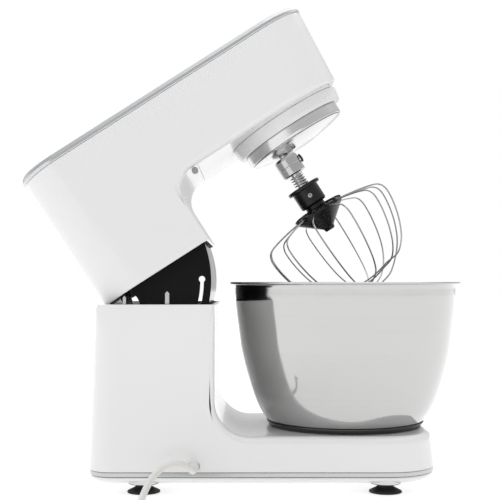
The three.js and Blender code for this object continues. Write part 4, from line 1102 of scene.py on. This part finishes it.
# ---- stage --------------------------------------------------------------------------------------
def add_card(name, corners, material):
    """A flat card that only the glossy surfaces see."""
    mesh = bpy.data.meshes.new(name)
    mesh.from_pydata([tuple(np.array(c) * MM) for c in corners], [], [(0, 1, 2, 3)])
    mesh.materials.append(material)
    card = add_object(name, mesh)
    card.visible_camera = card.visible_shadow = card.visible_diffuse = False


def add_sky_light(strength):
    """A wide, soft light from above, slightly from behind and from the left."""
    light = bpy.data.lights.new("soft_top", "SUN")
    light.energy, light.angle = strength, math.radians(110)
    lamp = add_object("soft_top", light)
    lamp.location = (0.0, 0.0, 1.5)
    lamp.rotation_euler = (math.radians(-12), math.radians(-8), 0.0)


def build_world(strength):
    """White room: a plain white behind the mixer, a little darker towards the camera."""
    world = bpy.data.worlds.new("white room")
    bpy.context.scene.world = world
    world.use_nodes = True
    tree = world.node_tree
    back = tree.nodes["Background"]
    place = tree.nodes.new("ShaderNodeTexCoord").outputs["Generated"]
    split = tree.nodes.new("ShaderNodeSeparateXYZ")
    tree.links.new(place, split.inputs[0])
    ramp = tree.nodes.new("ShaderNodeMapRange")
    for label, value in {"From Min": -1.0, "From Max": 1.0, "To Min": 0.93, "To Max": 1.0}.items():
        ramp.inputs[label].default_value = value
    tree.links.new(split.outputs["Y"], ramp.inputs["Value"])
    room = maths(tree, "MULTIPLY", ramp.outputs["Result"], strength)
    seen = tree.nodes.new("ShaderNodeLightPath").outputs["Is Camera Ray"]
    tree.links.new(maths(tree, "MAXIMUM", room, seen), back.inputs["Strength"])
    back.inputs["Color"].default_value = (1.0, 1.0, 1.0, 1.0)


def build_stage():
    """Camera, pale floor, white room, softbox above, and a card over the lead that paints the bowl's
    reflection.
    """
    studio = bpy.context.scene.mixer_studio
    camera = bpy.data.cameras.new("camera")
    camera.sensor_width, camera.lens = 36.0, 72.0
    eye = add_object("camera", camera)
    eye.location = (studio.aside, -studio.distance, studio.height)
    eye.rotation_euler = (math.radians(90 + 1.83), 0.0, 0.0)
    bpy.context.scene.camera = eye
    bpy.context.scene.view_settings.view_transform = "Standard"
    floor_mesh = bpy.data.meshes.new("floor")
    reach = 12.0
    floor_mesh.from_pydata(
        [(-reach, -reach, 0), (reach, -reach, 0), (reach, reach, 0), (-reach, reach, 0)], [],
        [(0, 1, 2, 3)])
    floor = add_object("floor", floor_mesh)
    material, tree, shader, place = start_material("floor")
    shader.inputs["Roughness"].default_value = 0.75
    dress(tree, shader, place, bpy.data.node_groups["Moulded surface"],
          {"Colour": (0.45, 0.45, 0.45), "Drift": 0.01, "Gloss": 0.6, "Uneven": 0.1, "Grain scale": 300.0},
          (0.02, 0.0002))
    shader.inputs["Emission Color"].default_value = (1.0, 1.0, 1.0, 1.0)
    shader.inputs["Emission Strength"].default_value = studio.floor_glow
    floor_mesh.materials.append(material)
    build_world(studio.world)
    add_sky_light(studio.top_light)
    far = COIL_LOW[1] - 25
    # Card seen only in reflections, over the coiled lead: the bowl reflects the glowing floor there instead
    # of the lead and its shadow, a painted reflection.
    add_card("cover_lead", [(-125, far, 18), (45, far, 18), (45, -142, 18), (-125, -142, 18)], material)


# ---- operators, panel and registration ----------------------------------------------------------
class MIXER_OT_finishes(bpy.types.Operator):
    """Make every finish of the mixer"""
    bl_idname = "mixer.finishes"
    bl_label = "Finishes"

    def execute(self, context):
        make_finishes()
        return {"FINISHED"}


class MIXER_OT_stage(bpy.types.Operator):
    """Set up the camera, the floor and the light"""
    bl_idname = "mixer.stage"
    bl_label = "Stage"

    def execute(self, context):
        build_stage()
        return {"FINISHED"}


class MIXER_OT_lead(bpy.types.Operator):
    """Lay the mains lead with its strain relief and plug"""
    bl_idname = "mixer.lead"
    bl_label = "Mains lead"

    def execute(self, context):
        mains_lead()
        return {"FINISHED"}


class MIXER_OT_base(bpy.types.Operator):
    """Build the base housing, trim, pan, feet and bowl seat"""
    bl_idname = "mixer.base"
    bl_label = "Base"

    def execute(self, context):
        base_housing()
        base_underside()
        bowl_seat()
        return {"FINISHED"}


class MIXER_OT_bowl(bpy.types.Operator):
    """Spin the steel bowl and its ring"""
    bl_idname = "mixer.bowl"
    bl_label = "Bowl"

    def execute(self, context):
        mixing_bowl()
        return {"FINISHED"}


class MIXER_OT_controls(bpy.types.Operator):
    """Build the speed dial and the release lever"""
    bl_idname = "mixer.controls"
    bl_label = "Controls"

    def execute(self, context):
        speed_knob()
        release_lever()
        return {"FINISHED"}


class MIXER_OT_head(bpy.types.Operator):
    """Build the head's housing, trim, lid and guard"""
    bl_idname = "mixer.head"
    bl_label = "Head"

    def execute(self, context):
        head_housing()
        head_top()
        tilt_guard()
        return {"FINISHED"}


class MIXER_OT_drive(bpy.types.Operator):
    """Build the skirt, ring, cone, collar, spindle and spring"""
    bl_idname = "mixer.drive"
    bl_label = "Drive"

    def execute(self, context):
        drive_parts()
        return {"FINISHED"}


class MIXER_OT_whisk(bpy.types.Operator):
    """Build the whisk's hub, cone and wires"""
    bl_idname = "mixer.whisk"
    bl_label = "Whisk"

    def execute(self, context):
        whisk_hub()
        whisk_wires()
        return {"FINISHED"}


class MIXER_OT_hidden(bpy.types.Operator):
    """Give the motor, gears, hinge and other inner parts their finishes"""
    bl_idname = "mixer.hidden"
    bl_label = "Inner parts"

    def execute(self, context):
        dress_hidden_parts()
        return {"FINISHED"}


OPERATORS = (
    MIXER_OT_finishes, MIXER_OT_stage, MIXER_OT_lead, MIXER_OT_base, MIXER_OT_bowl, MIXER_OT_controls,
    MIXER_OT_head, MIXER_OT_drive, MIXER_OT_whisk, MIXER_OT_hidden)
GROUPS = {
    "mixer_shape": MixerShape, "mixer_lead": MixerLead, "mixer_colours": MixerColours,
    "mixer_studio": MixerStudio}


class MIXER_PT_panel(bpy.types.Panel):
    """Sizes, colours and the steps that build the mixer"""
    bl_label = "Stand mixer"
    bl_idname = "MIXER_PT_panel"
    bl_space_type = "VIEW_3D"
    bl_region_type = "UI"
    bl_category = "Mixer"

    def draw(self, context):
        for group_name in GROUPS:
            box = self.layout.box()
            group = getattr(context.scene, group_name)
            for prop in group.__annotations__:
                box.prop(group, prop)
        for operator in OPERATORS:
            self.layout.operator(operator.bl_idname)


def register():
    """Registers the classes and hangs the settings on the scene."""
    for cls in (*GROUPS.values(), *OPERATORS, MIXER_PT_panel):
        bpy.utils.register_class(cls)
    for name, cls in GROUPS.items():
        setattr(bpy.types.Scene, name, PointerProperty(type=cls))


def unregister():
    """Takes everything back in the opposite order."""
    for name in GROUPS:
        delattr(bpy.types.Scene, name)
    for cls in reversed((*GROUPS.values(), *OPERATORS, MIXER_PT_panel)):
        bpy.utils.unregister_class(cls)


def main():
    register()
    for operator in OPERATORS:
        group, name = operator.bl_idname.split(".")
        getattr(getattr(bpy.ops, group), name)()
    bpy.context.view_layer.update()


if __name__ == "__main__":
    main()
